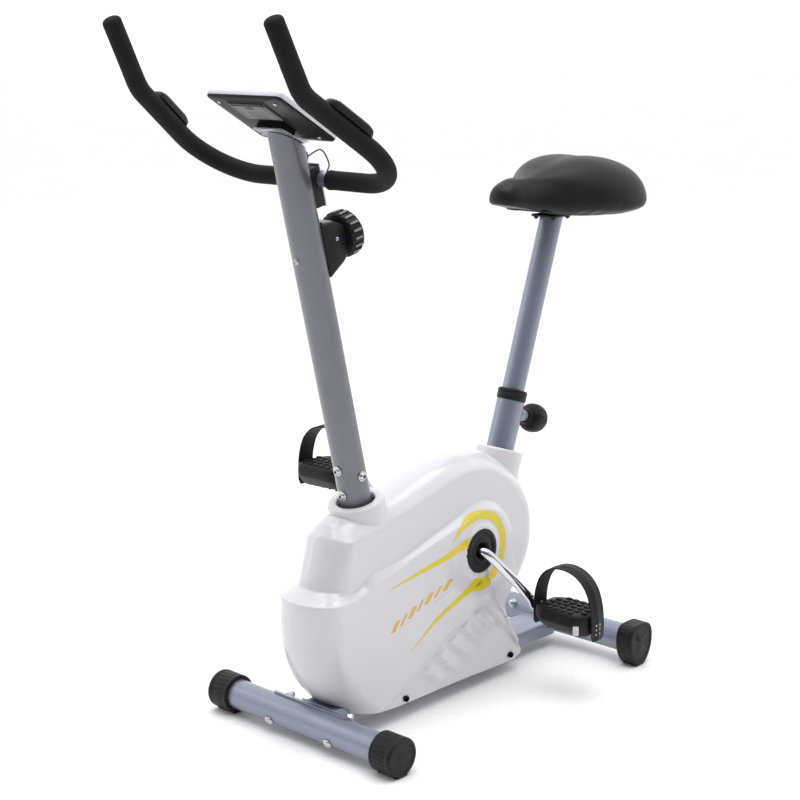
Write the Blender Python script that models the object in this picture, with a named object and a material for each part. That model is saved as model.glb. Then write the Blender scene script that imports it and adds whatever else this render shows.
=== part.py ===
"""Upright magnetic exercise bike: separate solids, modelled in metres with +Z up.

The rider sits on the saddle and faces -Y; +X is the rider's left. While modelling, Y is measured
from the front stabilizer's axis; FRONT_AXIS_Y then puts the origin under the middle of the bike.
"""
import math

import bmesh
import bpy
from mathutils import Matrix, Vector

FRONT_AXIS_Y = -0.2905
GAP = 0.0003

# floor frame
STABILIZER_RADIUS = 0.025
STABILIZER_WALL = 0.0018
STABILIZER_HALF = 0.2035
CAP_END = 0.211
FRONT_CAP_START = 0.166
REAR_CAP_START = 0.178
FRONT_AXIS = Vector((0.0, 0.0, 0.0331))
REAR_AXIS = Vector((0.0, 0.6358, 0.0437))
BASE_HALF_WIDTH = 0.0336
BASE_TOP = 0.0524
BASE_HEIGHT = 0.029
BASE_WALL = 0.002
PLATE_HALF_LENGTH = 0.0875
PLATE_THICKNESS = 0.003
BOLT_X = 0.068
BOLT_ANGLE = math.radians(30.0)
BOLT_RADIUS = 0.004

# leaning handlebar post and leaning seat tube: y = offset + slope * z
POST_OFFSET = 0.207
POST_SLOPE = -0.2403
POST_RADIUS = 0.0261
POST_WALL = 0.002
POST_FOOT_Z = 0.378
SEAT_OFFSET = 0.3478
SEAT_SLOPE = 0.3416
SEAT_TUBE_RADIUS = 0.025
SEAT_TUBE_WALL = 0.0024
SEAT_TUBE_TOP_Z = 0.4816
SEAT_POST_RADIUS = 0.0203
SEAT_POST_WALL = 0.002
SEAT_POST_TOP_Z = 0.800

# drive
CRANK_AXIS = Vector((0.0, 0.3445, 0.257))
CRANK_RADIUS = 0.143
CRANK_ANGLE = math.radians(-50.0)
FLYWHEEL_Z = 0.160
FLYWHEEL_RADIUS = 0.100
PULLEY_RADIUS = 0.085
PINION_RADIUS = 0.018
BELT_X = -0.0395

# handlebar and computer
BAR_Y = 0.030
BAR_Z = 0.9077
BAR_RADIUS = 0.0115
BAR_WALL = 0.0016
FOAM_RADIUS = 0.0148
BAR_SIDES = 8
CONSOLE_CENTRE = Vector((0.0, -0.0534, 1.008))
CONSOLE_TILT = math.radians(30.39)
CONSOLE_HALF_X = 0.081
CONSOLE_HALF_Y = 0.0677

X_AXIS = Vector((1.0, 0.0, 0.0))

PALETTE = {
    "grey_paint": ((0.235, 0.245, 0.285, 1.0), 0.38, 0.35),
    "light_grey_paint": ((0.36, 0.40, 0.50, 1.0), 0.36, 0.30),
    "white_gloss": ((0.80, 0.79, 0.80, 1.0), 0.18, 0.0),
    "black_plastic": ((0.012, 0.012, 0.013, 1.0), 0.42, 0.0),
    "black_foam": ((0.010, 0.010, 0.011, 1.0), 0.80, 0.0),
    "black_vinyl": ((0.012, 0.012, 0.013, 1.0), 0.50, 0.0),
    "grey_plastic": ((0.26, 0.26, 0.27, 1.0), 0.45, 0.0),
    "screen_glass": ((0.10, 0.13, 0.11, 1.0), 0.12, 0.0),
    "chrome": ((0.62, 0.63, 0.66, 1.0), 0.10, 1.0),
    "zinc": ((0.55, 0.56, 0.58, 1.0), 0.28, 1.0),
    "cast_iron": ((0.10, 0.10, 0.11, 1.0), 0.60, 0.8),
    "belt_rubber": ((0.015, 0.015, 0.015, 1.0), 0.75, 0.0),
}


def clear_scene():
    for item in list(bpy.data.objects):
        bpy.data.objects.remove(item, do_unlink=True)


def get_material(name):
    found = bpy.data.materials.get(name)
    if found:
        return found
    colour, roughness, metallic = PALETTE[name]
    made = bpy.data.materials.new(name)
    made.use_nodes = True
    shader = made.node_tree.nodes["Principled BSDF"]
    shader.inputs["Base Color"].default_value = colour
    shader.inputs["Roughness"].default_value = roughness
    shader.inputs["Metallic"].default_value = metallic
    made.diffuse_color = colour
    return made


def add_mesh(name, points, faces, material, pivot=None, sharp=38.0):
    """One closed mesh object whose origin is its pivot."""
    pivot = Vector(pivot) if pivot is not None else Vector((0.0, 0.0, 0.0))
    mesh = bpy.data.meshes.new(name)
    mesh.from_pydata([Vector(p) - pivot for p in points], [], faces)
    work = bmesh.new()
    work.from_mesh(mesh)
    bmesh.ops.recalc_face_normals(work, faces=work.faces[:])
    if work.calc_volume(signed=True) < 0.0:
        bmesh.ops.reverse_faces(work, faces=work.faces[:])
    work.to_mesh(mesh)
    work.free()
    mesh.shade_smooth()
    mesh.set_sharp_from_angle(angle=math.radians(sharp))
    mesh.materials.append(get_material(material))
    made = bpy.data.objects.new(name, mesh)
    made.location = pivot
    bpy.context.scene.collection.objects.link(made)
    return made


def loft(name, rings, material, pivot=None, closed=False, sharp=38.0):
    """Skin through rings of equal length; both ends are filled unless the loft closes on itself."""
    count = len(rings[0])
    points = [p for ring in rings for p in ring]
    faces = []
    spans = len(rings) if closed else len(rings) - 1
    for k in range(spans):
        low = k * count
        high = ((k + 1) % len(rings)) * count
        for j in range(count):
            after = (j + 1) % count
            faces.append((low + j, low + after, high + after, high + j))
    if not closed:
        faces.append(tuple(reversed(range(count))))
        faces.append(tuple(range((len(rings) - 1) * count, len(rings) * count)))
    return add_mesh(name, points, faces, material, pivot, sharp)


def frame_about(axis):
    along = Vector(axis).normalized()
    side = Vector((0.0, 0.0, 1.0)) if abs(along.x) > 0.9 else X_AXIS.copy()
    side = (side - along * side.dot(along)).normalized()
    return side, along.cross(side), along


def circle(centre, side, up, radius, count):
    return [centre + side * (radius * math.cos(2 * math.pi * k / count))
            + up * (radius * math.sin(2 * math.pi * k / count)) for k in range(count)]


def hexagon(centre, side, up, flat_radius, count=12):
    """A hexagon drawn with twelve points, so that it lofts to a circle of twelve points."""
    ring = []
    for k in range(count):
        angle = 2 * math.pi * k / count
        radius = flat_radius / math.cos(math.radians(30.0)) if k % 2 == 0 else flat_radius
        ring.append(centre + side * (radius * math.cos(angle)) + up * (radius * math.sin(angle)))
    return ring


def turned(name, origin, axis, profile, material, count=20, pivot=None, closed=False):
    """A turned solid: the profile holds (distance along the axis, radius) pairs."""
    side, up, along = frame_about(axis)
    rings = [circle(Vector(origin) + along * t, side, up, r, count) for t, r in profile]
    return loft(name, rings, material, pivot, closed)


def on_plane(point, along, plane_point, plane_normal):
    reach = (plane_point - point).dot(plane_normal) / along.dot(plane_normal)
    return point + along * reach


def pipe(name, start, end, outer, inner, material, count=20, start_normal=None, end_normal=None,
         pivot=None):
    """A straight hollow tube whose ends can be cut at a slant."""
    start = Vector(start)
    end = Vector(end)
    side, up, along = frame_about(end - start)
    near = Vector(start_normal) if start_normal is not None else along
    far = Vector(end_normal) if end_normal is not None else along
    rings = []
    for point, normal, radius in ((start, near, outer), (end, far, outer),
                                  (end, far, inner), (start, near, inner)):
        ring = circle(point, side, up, radius, count)
        rings.append([on_plane(p, along, point, normal) for p in ring])
    return loft(name, rings, material, pivot, closed=True)


def block(name, centre, axes, half, material, pivot=None, chamfer=0.0):
    """A box on three given axes, with its edges along the third axis chamfered."""
    a, b, c = axes
    ha, hb, hc = half
    k = chamfer
    if k > 0.0:
        flat = [(ha, hb - k), (ha - k, hb), (k - ha, hb), (-ha, hb - k),
                (-ha, k - hb), (k - ha, -hb), (ha - k, -hb), (ha, k - hb)]
    else:
        flat = [(ha, hb), (-ha, hb), (-ha, -hb), (ha, -hb)]
    rings = [[Vector(centre) + a * p + b * q + c * t for p, q in flat] for t in (-hc, hc)]
    return loft(name, rings, material, pivot)


def combine(target, tool, operation="DIFFERENCE"):
    """Cuts with or joins a helper solid, which is not part of the model itself."""
    step = target.modifiers.new(tool.name, "BOOLEAN")
    step.operation = operation
    step.solver = "EXACT"
    step.object = tool
    tool.hide_render = True
    tool.display_type = "WIRE"


def drill(targets, name, point, axis, radius, low, high, count=16):
    tool = turned(name, point, axis, [(low, radius), (high, radius)], "zinc", count)
    for target in targets:
        combine(target, tool)


def rounded_path(corners, radii, steps_per_bend):
    """Points along straight runs joined by round bends."""
    path = [Vector(corners[0])]
    for k in range(1, len(corners) - 1):
        corner = Vector(corners[k])
        back = (Vector(corners[k - 1]) - corner).normalized()
        ahead = (Vector(corners[k + 1]) - corner).normalized()
        half_angle = back.angle(ahead) / 2
        radius = radii[k - 1]
        reach = radius / math.tan(half_angle)
        centre = corner + (back + ahead).normalized() * (radius / math.sin(half_angle))
        first = corner + back * reach - centre
        last = corner + ahead * reach - centre
        turn = first.angle(last)
        steps = steps_per_bend[k - 1]
        for step in range(steps + 1):
            share = step / steps
            mixed = first * math.sin((1 - share) * turn) + last * math.sin(share * turn)
            path.append(centre + mixed / math.sin(turn))
    path.append(Vector(corners[-1]))
    return path


def frames_along(path):
    """A frame at each path point, carried along so that it never twists."""
    frames = []
    side = None
    for k, point in enumerate(path):
        ahead = path[min(k + 1, len(path) - 1)] - point
        back = point - path[max(k - 1, 0)]
        along = (ahead.normalized() + back.normalized()).normalized()
        if side is None:
            side = frame_about(along)[0]
        side = (side - along * side.dot(along)).normalized()
        frames.append((point, side, along.cross(side), along))
    return frames


def swept_rings(path, radius, count):
    return [circle(point, side, up, radius, count) for point, side, up, along in frames_along(path)]


def cord(name, corners, radius, material):
    """A wire: a smooth curve read at even steps, with filled ends."""
    path = smooth_curve([Vector(c) for c in corners], 2, closed=False)
    curve = bpy.data.curves.new(name, "CURVE")
    curve.dimensions = "3D"
    curve.bevel_depth = radius
    curve.bevel_resolution = 2
    curve.use_fill_caps = True
    line = curve.splines.new("POLY")
    line.points.add(len(path) - 1)
    for k, point in enumerate(path):
        line.points[k].co = (point.x, point.y, point.z, 1.0)
    curve.materials.append(get_material(material))
    made = bpy.data.objects.new(name, curve)
    bpy.context.scene.collection.objects.link(made)
    return made


def smooth_curve(corners, steps, closed=True):
    """A Catmull-Rom curve through the corners, read at even steps."""
    total = len(corners)
    spans = total if closed else total - 1
    points = []
    for k in range(spans):
        if closed:
            near = [corners[(k + shift) % total] for shift in (-1, 0, 1, 2)]
        else:
            near = [corners[min(max(k + shift, 0), total - 1)] for shift in (-1, 0, 1, 2)]
        a, b, c, d = near
        for step in range(steps):
            t = step / steps
            points.append(0.5 * ((2 * b) + (c - a) * t + (2 * a - 5 * b + 4 * c - d) * t ** 2
                                 + (3 * b - a - 3 * c + d) * t ** 3))
    if not closed:
        points.append(corners[-1].copy())
    return points


def post_point(z):
    return Vector((0.0, POST_OFFSET + POST_SLOPE * z, z))


def seat_point(z):
    return Vector((0.0, SEAT_OFFSET + SEAT_SLOPE * z, z))


POST_UP = Vector((0.0, POST_SLOPE, 1.0)).normalized()
POST_BACK = Vector((0.0, POST_UP.z, -POST_UP.y))
SEAT_UP = Vector((0.0, SEAT_SLOPE, 1.0)).normalized()
SEAT_BACK = Vector((0.0, SEAT_UP.z, -SEAT_UP.y))
CONSOLE_DOWN = Vector((0.0, math.cos(CONSOLE_TILT), -math.sin(CONSOLE_TILT)))
CONSOLE_NORMAL = Vector((0.0, math.sin(CONSOLE_TILT), math.cos(CONSOLE_TILT)))
ARM = Vector((0.0, math.cos(CRANK_ANGLE), math.sin(CRANK_ANGLE)))
FLYWHEEL_AXIS = post_point(FLYWHEEL_Z)


def bolt_direction(rear):
    angle = math.pi - BOLT_ANGLE if rear else BOLT_ANGLE
    return Vector((0.0, math.cos(angle), math.sin(angle)))


def make_stabilizer(name, axis):
    low = axis - X_AXIS * STABILIZER_HALF
    high = axis + X_AXIS * STABILIZER_HALF
    outer = STABILIZER_RADIUS
    return pipe(name, low, high, outer, outer - STABILIZER_WALL, "light_grey_paint")


def make_saddle_plate(name, axis, rear):
    """A curved plate that hugs the stabilizer and carries the end of the base tube."""
    middle = math.pi - BOLT_ANGLE if rear else BOLT_ANGLE
    inner = STABILIZER_RADIUS + GAP
    outer = inner + PLATE_THICKNESS
    steps = 8
    spread = math.radians(56.0)
    section = []
    for radius, order in ((outer, range(steps + 1)), (inner, range(steps, -1, -1))):
        for k in order:
            angle = middle - spread + 2 * spread * k / steps
            section.append(Vector((0.0, radius * math.cos(angle), radius * math.sin(angle))))
    rings = [[axis + X_AXIS * x + p for p in section] for x in (-PLATE_HALF_LENGTH, PLATE_HALF_LENGTH)]
    return loft(name, rings, "light_grey_paint")


def make_stabilizer_bolt(name, axis, x, rear):
    """A carriage bolt with a washer and a domed nut, right through the tube and its plate."""
    side, up, along = frame_about(bolt_direction(rear))
    centre = axis + X_AXIS * x
    head = -(STABILIZER_RADIUS + GAP)
    seat = STABILIZER_RADIUS + PLATE_THICKNESS + 3 * GAP
    rings = [circle(centre + along * t, side, up, r, 12) for t, r in (
        (head - 0.0042, 0.0045), (head, 0.0095), (head, BOLT_RADIUS), (seat, BOLT_RADIUS),
        (seat, 0.0088), (seat + 0.0015, 0.0088))]
    rings.append(hexagon(centre + along * (seat + 0.0015), side, up, 0.0064))
    rings.append(hexagon(centre + along * (seat + 0.0070), side, up, 0.0064))
    rings.append(circle(centre + along * (seat + 0.0118), side, up, 0.0038, 12))
    return loft(name, rings, "zinc")


def cap_outline(rear, count=20):
    """Outline about the tube axis as (y, z): a round foot in front, a cam-shaped levelling foot behind."""
    if not rear:
        drop = FRONT_AXIS.z
        ring = []
        for k in range(count):
            angle = 2 * math.pi * k / count
            y = 0.032 * math.cos(angle)
            z = 0.032 * math.sin(angle)
            ring.append((y, -drop if z < -0.0296 else z))
        return ring
    drop = REAR_AXIS.z
    corners = [(0.033, -0.008), (0.033, 0.017), (0.023, 0.0315), (0.0, 0.034), (-0.023, 0.0315),
               (-0.033, 0.017), (-0.033, -0.008), (-0.025, -0.028), (-0.010, -drop), (0.010, -drop),
               (0.025, -0.028)]
    curve = smooth_curve([Vector((y, z, 0.0)) for y, z in corners], 2)
    return [(p.x, max(p.y, -drop)) for p in curve]


def make_cap(name, axis, sign, rear, pivot=None):
    """A cup-shaped plastic end cap pushed over the tube."""
    outline = cap_outline(rear)
    count = len(outline)
    angles = [math.atan2(z, y) for y, z in outline]
    bore = STABILIZER_RADIUS + 2 * GAP
    bottom = STABILIZER_HALF + GAP
    hole = [(bore * math.cos(t), bore * math.sin(t)) for t in angles]
    mouth = REAR_CAP_START if rear else FRONT_CAP_START
    levels = [(bottom, hole, 1.0), (mouth, hole, 1.0), (mouth, outline, 0.97),
              (mouth + 0.002, outline, 1.0), (CAP_END - 0.004, outline, 1.0),
              (CAP_END, outline, 0.90)]
    drop = -axis.z
    rings = []
    for x, ring, scale in levels:
        rings.append([axis + Vector((sign * x, y * scale, max(z * scale, drop))) for y, z in ring])
    assert len(rings[0]) == count
    return loft(name, rings, "black_plastic", pivot)


def make_base_tube():
    """Rectangular tube between the two saddle plates, its ends shaped to fit them."""
    low = BASE_TOP - BASE_HEIGHT
    rings = []
    for y, inset in ((0.010, 0.0), (0.628, 0.0), (0.628, BASE_WALL), (0.010, BASE_WALL)):
        half = BASE_HALF_WIDTH - inset
        rings.append([Vector((half, y, low + inset)), Vector((half, y, BASE_TOP - inset)),
                      Vector((-half, y, BASE_TOP - inset)), Vector((-half, y, low + inset))])
    tube = loft("base_tube", rings, "light_grey_paint", closed=True)
    reach = STABILIZER_RADIUS + PLATE_THICKNESS + 2 * GAP
    for label, axis in (("front", FRONT_AXIS), ("rear", REAR_AXIS)):
        tool = turned("cut_base_" + label, axis - X_AXIS * 0.06, X_AXIS, [(0.0, reach), (0.12, reach)],
                      "zinc", 28)
        combine(tube, tool)
    return tube


def make_floor_frame():
    tubes = {}
    for label, axis, rear in (("front", FRONT_AXIS, False), ("rear", REAR_AXIS, True)):
        tube = make_stabilizer(label + "_stabilizer", axis)
        plate = make_saddle_plate(label + "_saddle_plate", axis, rear)
        for side, sign in (("left", 1.0), ("right", -1.0)):
            make_stabilizer_bolt(label + "_bolt_" + side, axis, sign * BOLT_X, rear)
            pivot = axis + X_AXIS * (sign * 0.19)
            make_cap(label + "_cap_" + side, axis, sign, rear, pivot)
            drill((tube, plate), "cut_" + label + "_bolt_" + side, axis + X_AXIS * (sign * BOLT_X),
                  bolt_direction(rear), BOLT_RADIUS + GAP, -0.04, 0.04, 12)
        tubes[label] = tube
    make_base_tube()
    return tubes


def make_handlebar_post():
    """The leaning post, cut level with the computer at the top, and the stub it slides over."""
    post = pipe("handlebar_post", post_point(POST_FOOT_Z), crown_point(), POST_RADIUS,
                POST_RADIUS - POST_WALL, "grey_paint", 20, end_normal=CROWN_NORMAL)
    stub_radius = POST_RADIUS - POST_WALL - GAP
    stub = pipe("post_stub", post_point(BASE_TOP + GAP), post_point(0.470), stub_radius,
                stub_radius - POST_WALL, "grey_paint", 16, start_normal=Vector((0.0, 0.0, 1.0)))
    forward = -POST_BACK
    for name, z, direction in (("post_bolt_lower", 0.401, forward), ("post_bolt_upper", 0.444, forward),
                               ("post_bolt_side", 0.428, X_AXIS)):
        make_post_bolt(name, post_point(z), direction)
        drill((post, stub), "cut_" + name, post_point(z), direction, 0.0035 + GAP, 0.015, 0.04, 12)
    make_post_screw(post_point(0.79), forward)
    drill((post,), "cut_post_screw", post_point(0.79), forward, 0.0022 + GAP, 0.015, 0.04, 10)
    drill((post,), "cut_pulse_hole", post_point(0.935), POST_BACK, 0.0055, 0.015, 0.04, 14)
    drill((post,), "cut_cable_hole", post_point(0.800), POST_BACK, 0.0035, 0.015, 0.04, 12)
    drill((stub,), "cut_axle_hole", FLYWHEEL_AXIS, X_AXIS, 0.0064, -0.04, 0.04, 16)
    drill((stub,), "cut_stub_cable_hole", post_point(0.300), forward, 0.0045, 0.010, 0.04, 12)


def make_post_bolt(name, point, direction):
    """A pan-head bolt on a curved washer, through the post wall into the stub."""
    start = POST_RADIUS + GAP + 0.0004
    profile = [(0.0175, 0.0020), (0.0180, 0.0035), (start, 0.0035), (start, 0.0085),
               (start + 0.0014, 0.0085), (start + 0.0014, 0.0066), (start + 0.0045, 0.0058),
               (start + 0.0058, 0.0030)]
    turned(name, point, direction, profile, "zinc", 10)


def make_post_screw(point, direction):
    start = POST_RADIUS + GAP
    profile = [(0.0185, 0.0012), (0.0190, 0.0022), (start, 0.0022), (start, 0.0048),
               (start + 0.0014, 0.0044), (start + 0.0024, 0.0022)]
    turned("post_screw", point, direction, profile, "zinc", 8)


def make_drive_frame():
    """Bottom bracket shell with the strut to the post stub and the gusset to the seat tube."""
    shell_outer = 0.022
    shell = turned("bottom_bracket", CRANK_AXIS - X_AXIS * 0.031, X_AXIS,
                   [(0.0, 0.0095), (0.0, shell_outer), (0.062, shell_outer), (0.062, 0.0095)],
                   "grey_paint", 28, closed=True)
    front = post_point(CRANK_AXIS.z).y
    back = seat_point(CRANK_AXIS.z).y
    for name, low, high in (("join_strut", front + 0.010, CRANK_AXIS.y - 0.0150),
                            ("join_gusset", CRANK_AXIS.y + 0.0150, back - 0.010)):
        middle = Vector((0.0, (low + high) / 2, CRANK_AXIS.z))
        tool = block(name, middle, (X_AXIS, Vector((0.0, 0.0, 1.0)), Vector((0.0, 1.0, 0.0))),
                     (0.012, 0.0135, (high - low) / 2), "grey_paint")
        combine(shell, tool, "UNION")
    clear = POST_RADIUS - POST_WALL + GAP
    drill((shell,), "cut_strut_end", post_point(CRANK_AXIS.z), POST_UP, clear, -0.10, 0.10, 28)
    drill((shell,), "cut_gusset_end", seat_point(CRANK_AXIS.z), SEAT_UP, SEAT_TUBE_RADIUS + GAP,
          -0.10, 0.10, 28)


def crank_path():
    """(x, reach along the arm) stations of the left half of the one-piece crank."""
    return [(0.0, 0.0), (0.050, 0.0), (0.068, 0.0005), (0.079, 0.0035), (0.0865, 0.0105),
            (0.0920, 0.022), (0.0985, 0.042), (0.1080, 0.075), (0.1160, 0.105), (0.1195, 0.125),
            (0.1200, CRANK_RADIUS - 0.004), (0.1200, CRANK_RADIUS + 0.006),
            (0.1200, CRANK_RADIUS + 0.0105)]


def crank_section(k):
    """Half-width across the arm and half-thickness at one station."""
    if k < 3:
        return 0.0085, 0.0085
    if k < 5:
        return 0.0088, 0.0078
    if k < 9:
        return 0.0086, 0.0062
    if k < 10:
        return 0.0095, 0.0065
    if k < 11:
        return 0.0125, 0.0070
    if k < 12:
        return 0.0108, 0.0070
    return 0.0060, 0.0055


def make_crank():
    """One bent bar: the axle, both arms and both pedal spindles."""
    half = crank_path()
    stations = [(-x, -r, k) for k, (x, r) in reversed(list(enumerate(half)))]
    stations += [(x, r, k) for k, (x, r) in enumerate(half)][1:]
    across = X_AXIS.cross(ARM)
    centres = [CRANK_AXIS + X_AXIS * x + ARM * r for x, r, k in stations]
    rings = []
    for n, (x, r, k) in enumerate(stations):
        ahead = centres[min(n + 1, len(centres) - 1)] - centres[max(n - 1, 0)]
        along = ahead.normalized()
        thick = along.cross(across).normalized()
        wide, deep = crank_section(k)
        rings.append([centres[n] + across * (wide * math.cos(2 * math.pi * j / 10))
                      + thick * (deep * math.sin(2 * math.pi * j / 10)) for j in range(10)])
    crank = loft("crank", rings, "chrome", CRANK_AXIS)
    for side, sign in (("left", 1.0), ("right", -1.0)):
        centre = CRANK_AXIS + ARM * (sign * CRANK_RADIUS)
        profile = [(0.1160, 0.0050), (0.1275, 0.0050), (0.1275, 0.0080), (0.1300, 0.0080),
                   (0.1300, 0.0058), (0.2300, 0.0052), (0.2310, 0.0040)]
        tool = turned("join_spindle_" + side, centre, X_AXIS * sign, profile, "chrome", 10)
        combine(crank, tool, "UNION")
    return crank


def make_crank_parts():
    for side, sign in (("left", 1.0), ("right", -1.0)):
        profile = [(0.0600, 0.0100), (0.0600, 0.0200), (0.0742, 0.0200), (0.0742, 0.0386),
                   (0.0768, 0.0386), (0.0785, 0.0365), (0.0775, 0.0160), (0.0690, 0.0112)]
        turned("crank_disc_" + side, CRANK_AXIS, X_AXIS * sign, profile, "black_plastic", 20,
               CRANK_AXIS, closed=True)
    rim = PULLEY_RADIUS
    profile = [(-0.0050, 0.0090), (-0.0050, 0.0220), (-0.0020, 0.0240), (-0.0020, rim - 0.008),
               (-0.0060, rim - 0.006), (-0.0060, rim), (0.0060, rim), (0.0060, rim - 0.006),
               (0.0020, rim - 0.008), (0.0020, 0.0240), (0.0060, 0.0220), (0.0060, 0.0090)]
    turned("drive_pulley", CRANK_AXIS + X_AXIS * BELT_X, X_AXIS, profile, "black_plastic", 20,
           CRANK_AXIS, closed=True)


def make_flywheel():
    """Iron wheel, axle and belt pinion turned as one rigid piece that runs in the post stub."""
    rim = FLYWHEEL_RADIUS
    profile = [(-0.0480, 0.0080), (-0.0465, PINION_RADIUS), (-0.0325, PINION_RADIUS), (-0.0310, 0.0060),
                (0.0280, 0.0060), (0.0300, 0.0180),
               (0.0360, 0.0200), (0.0360, 0.0740), (0.0320, 0.0760), (0.0320, rim), (0.0460, rim),
               (0.0460, 0.0760), (0.0420, 0.0740), (0.0420, 0.0200), (0.0480, 0.0180),
               (0.0500, 0.0060)]
    turned("flywheel", FLYWHEEL_AXIS, X_AXIS, profile, "cast_iron", 20, FLYWHEEL_AXIS)


def make_belt():
    """Flat belt round the big pulley and the pinion, standing just clear of both."""
    big = PULLEY_RADIUS + GAP
    small = PINION_RADIUS + GAP
    thick = 0.0018
    between = CRANK_AXIS - FLYWHEEL_AXIS
    distance = between.length
    heading = math.atan2(between.z, between.y)
    open_angle = math.acos((big - small) / distance)
    stations = []
    for centre, radius, low, high, steps in (
            (CRANK_AXIS, big, heading - math.pi + open_angle, heading + math.pi - open_angle, 18),
            (FLYWHEEL_AXIS, small, heading + math.pi - open_angle, heading + math.pi + open_angle, 8)):
        for k in range(steps + 1):
            angle = low + (high - low) * k / steps
            slack = 1.0 / math.cos((high - low) / steps / 2)
            stations.append((centre, radius * slack, angle))
    rings = []
    for centre, radius, angle in stations:
        out = Vector((0.0, math.cos(angle), math.sin(angle)))
        middle = centre + X_AXIS * BELT_X
        rings.append([middle + out * (radius + lift) + X_AXIS * x
                      for x, lift in ((-0.005, 0.0), (0.005, 0.0), (0.005, thick), (-0.005, thick))])
    loft("drive_belt", rings, "belt_rubber", closed=True)


def make_magnet_bracket():
    """Curved steel shoe with the brake magnets, hinged at its upper end in front of the flywheel."""
    inner = FLYWHEEL_RADIUS + 0.0085
    outer = inner + 0.006
    low = math.radians(142.0)
    high = math.radians(212.0)
    steps = 12
    section = []
    for radius, order in ((outer, range(steps + 1)), (inner, range(steps, -1, -1))):
        for k in order:
            angle = low + (high - low) * k / steps
            section.append(Vector((0.0, radius * math.cos(angle), radius * math.sin(angle))))
    pivot = magnet_pivot()
    rings = [[FLYWHEEL_AXIS + X_AXIS * x + p for p in section] for x in (0.030, 0.048)]
    shoe = loft("magnet_bracket", rings, "zinc", pivot)
    boss = turned("join_magnet_boss", pivot + X_AXIS * 0.030, X_AXIS, [(0.0, 0.0055), (0.018, 0.0055)],
                  "zinc", 16)
    combine(shoe, boss, "UNION")
    drill((shoe,), "cut_magnet_pin", pivot, X_AXIS, 0.0025, 0.02, 0.06, 10)


def magnet_pivot():
    angle = math.radians(141.0)
    reach = FLYWHEEL_RADIUS + 0.0115
    return FLYWHEEL_AXIS + Vector((0.0, reach * math.cos(angle), reach * math.sin(angle)))


def make_magnet_support(stub):
    """Lug on the stub with the pin that the magnet bracket swings on."""
    pivot = magnet_pivot()
    lug = block("join_magnet_lug", Vector((0.017, (pivot.y + 0.134) / 2, pivot.z)),
                (Vector((0.0, 1.0, 0.0)), Vector((0.0, 0.0, 1.0)), X_AXIS),
                ((0.134 - pivot.y) / 2 + 0.005, 0.008, 0.003), "grey_paint")
    pin = turned("join_magnet_pin", pivot, X_AXIS, [(0.0160, 0.0022), (0.0500, 0.0022)], "zinc", 10)
    combine(stub, lug, "UNION")
    combine(stub, pin, "UNION")


# The covers: matching corners of the middle outline and of the side edge, as (y, z) in millimetres,
# from the lower front, up the rounded bow, over the hood and the hump, down the stern to the sole.
COVER_CORNERS = (
    ((74, 30), (118, 29)), ((44, 46), (92, 45)), ((19, 68), (66, 68)), ((-3, 95), (44, 96)),
    ((-18, 127), (27, 128)), ((-27, 163), (17, 164)), ((-29, 200), (13, 200)), ((-26, 236), (16, 236)),
    ((-14, 246), (26, 245)), ((4, 256), (42, 256)), ((13, 285), (48, 284)), ((28, 328), (58, 326)),
    ((54, 357), (92, 338)), ((100, 370), (132, 342)), ((165, 379), (174, 355)), ((230, 396), (238, 371)),
    ((290, 412), (298, 388)), ((344, 420), (350, 393)), ((400, 413), (396, 385)),
    ((450, 391), (437, 361)), ((492, 360), (462, 336)), ((520, 315), (480, 300)),
    ((530, 262), (485, 265)), ((522, 215), (479, 225)), ((498, 176), (456, 187)),
    ((462, 146), (425, 146)), ((456, 120), (422, 121)), ((474, 74), (452, 70)),
    ((486, 36), (480, 32)), ((460, 24), (450, 23)), ((290, 27), (286, 28)), ((170, 28), (180, 27)))
COVER_SIDE_X = 0.0645
COVER_WALL = 0.003


def cover_ring(x, inset):
    """Outline of the covers at one distance from the middle plane, optionally offset inwards."""
    share = (1.0 - math.sqrt(1.0 - (min(x, 0.0622) / 0.0625) ** 2)) / 0.72
    corners = []
    for (yc, zc), (ys, zs) in COVER_CORNERS:
        middle = Vector((yc, zc, 0.0)) * 0.001
        edge = Vector((ys, zs, 0.0)) * 0.001
        corners.append(middle + (edge - middle) * share)
    line = smooth_curve(corners, 1)
    if inset > 0.0:
        shifted = []
        for k, point in enumerate(line):
            along = (line[(k + 1) % len(line)] - line[k - 1]).normalized()
            shifted.append(point + Vector((along.y, -along.x, 0.0)) * inset)
        line = shifted
    return line


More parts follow.
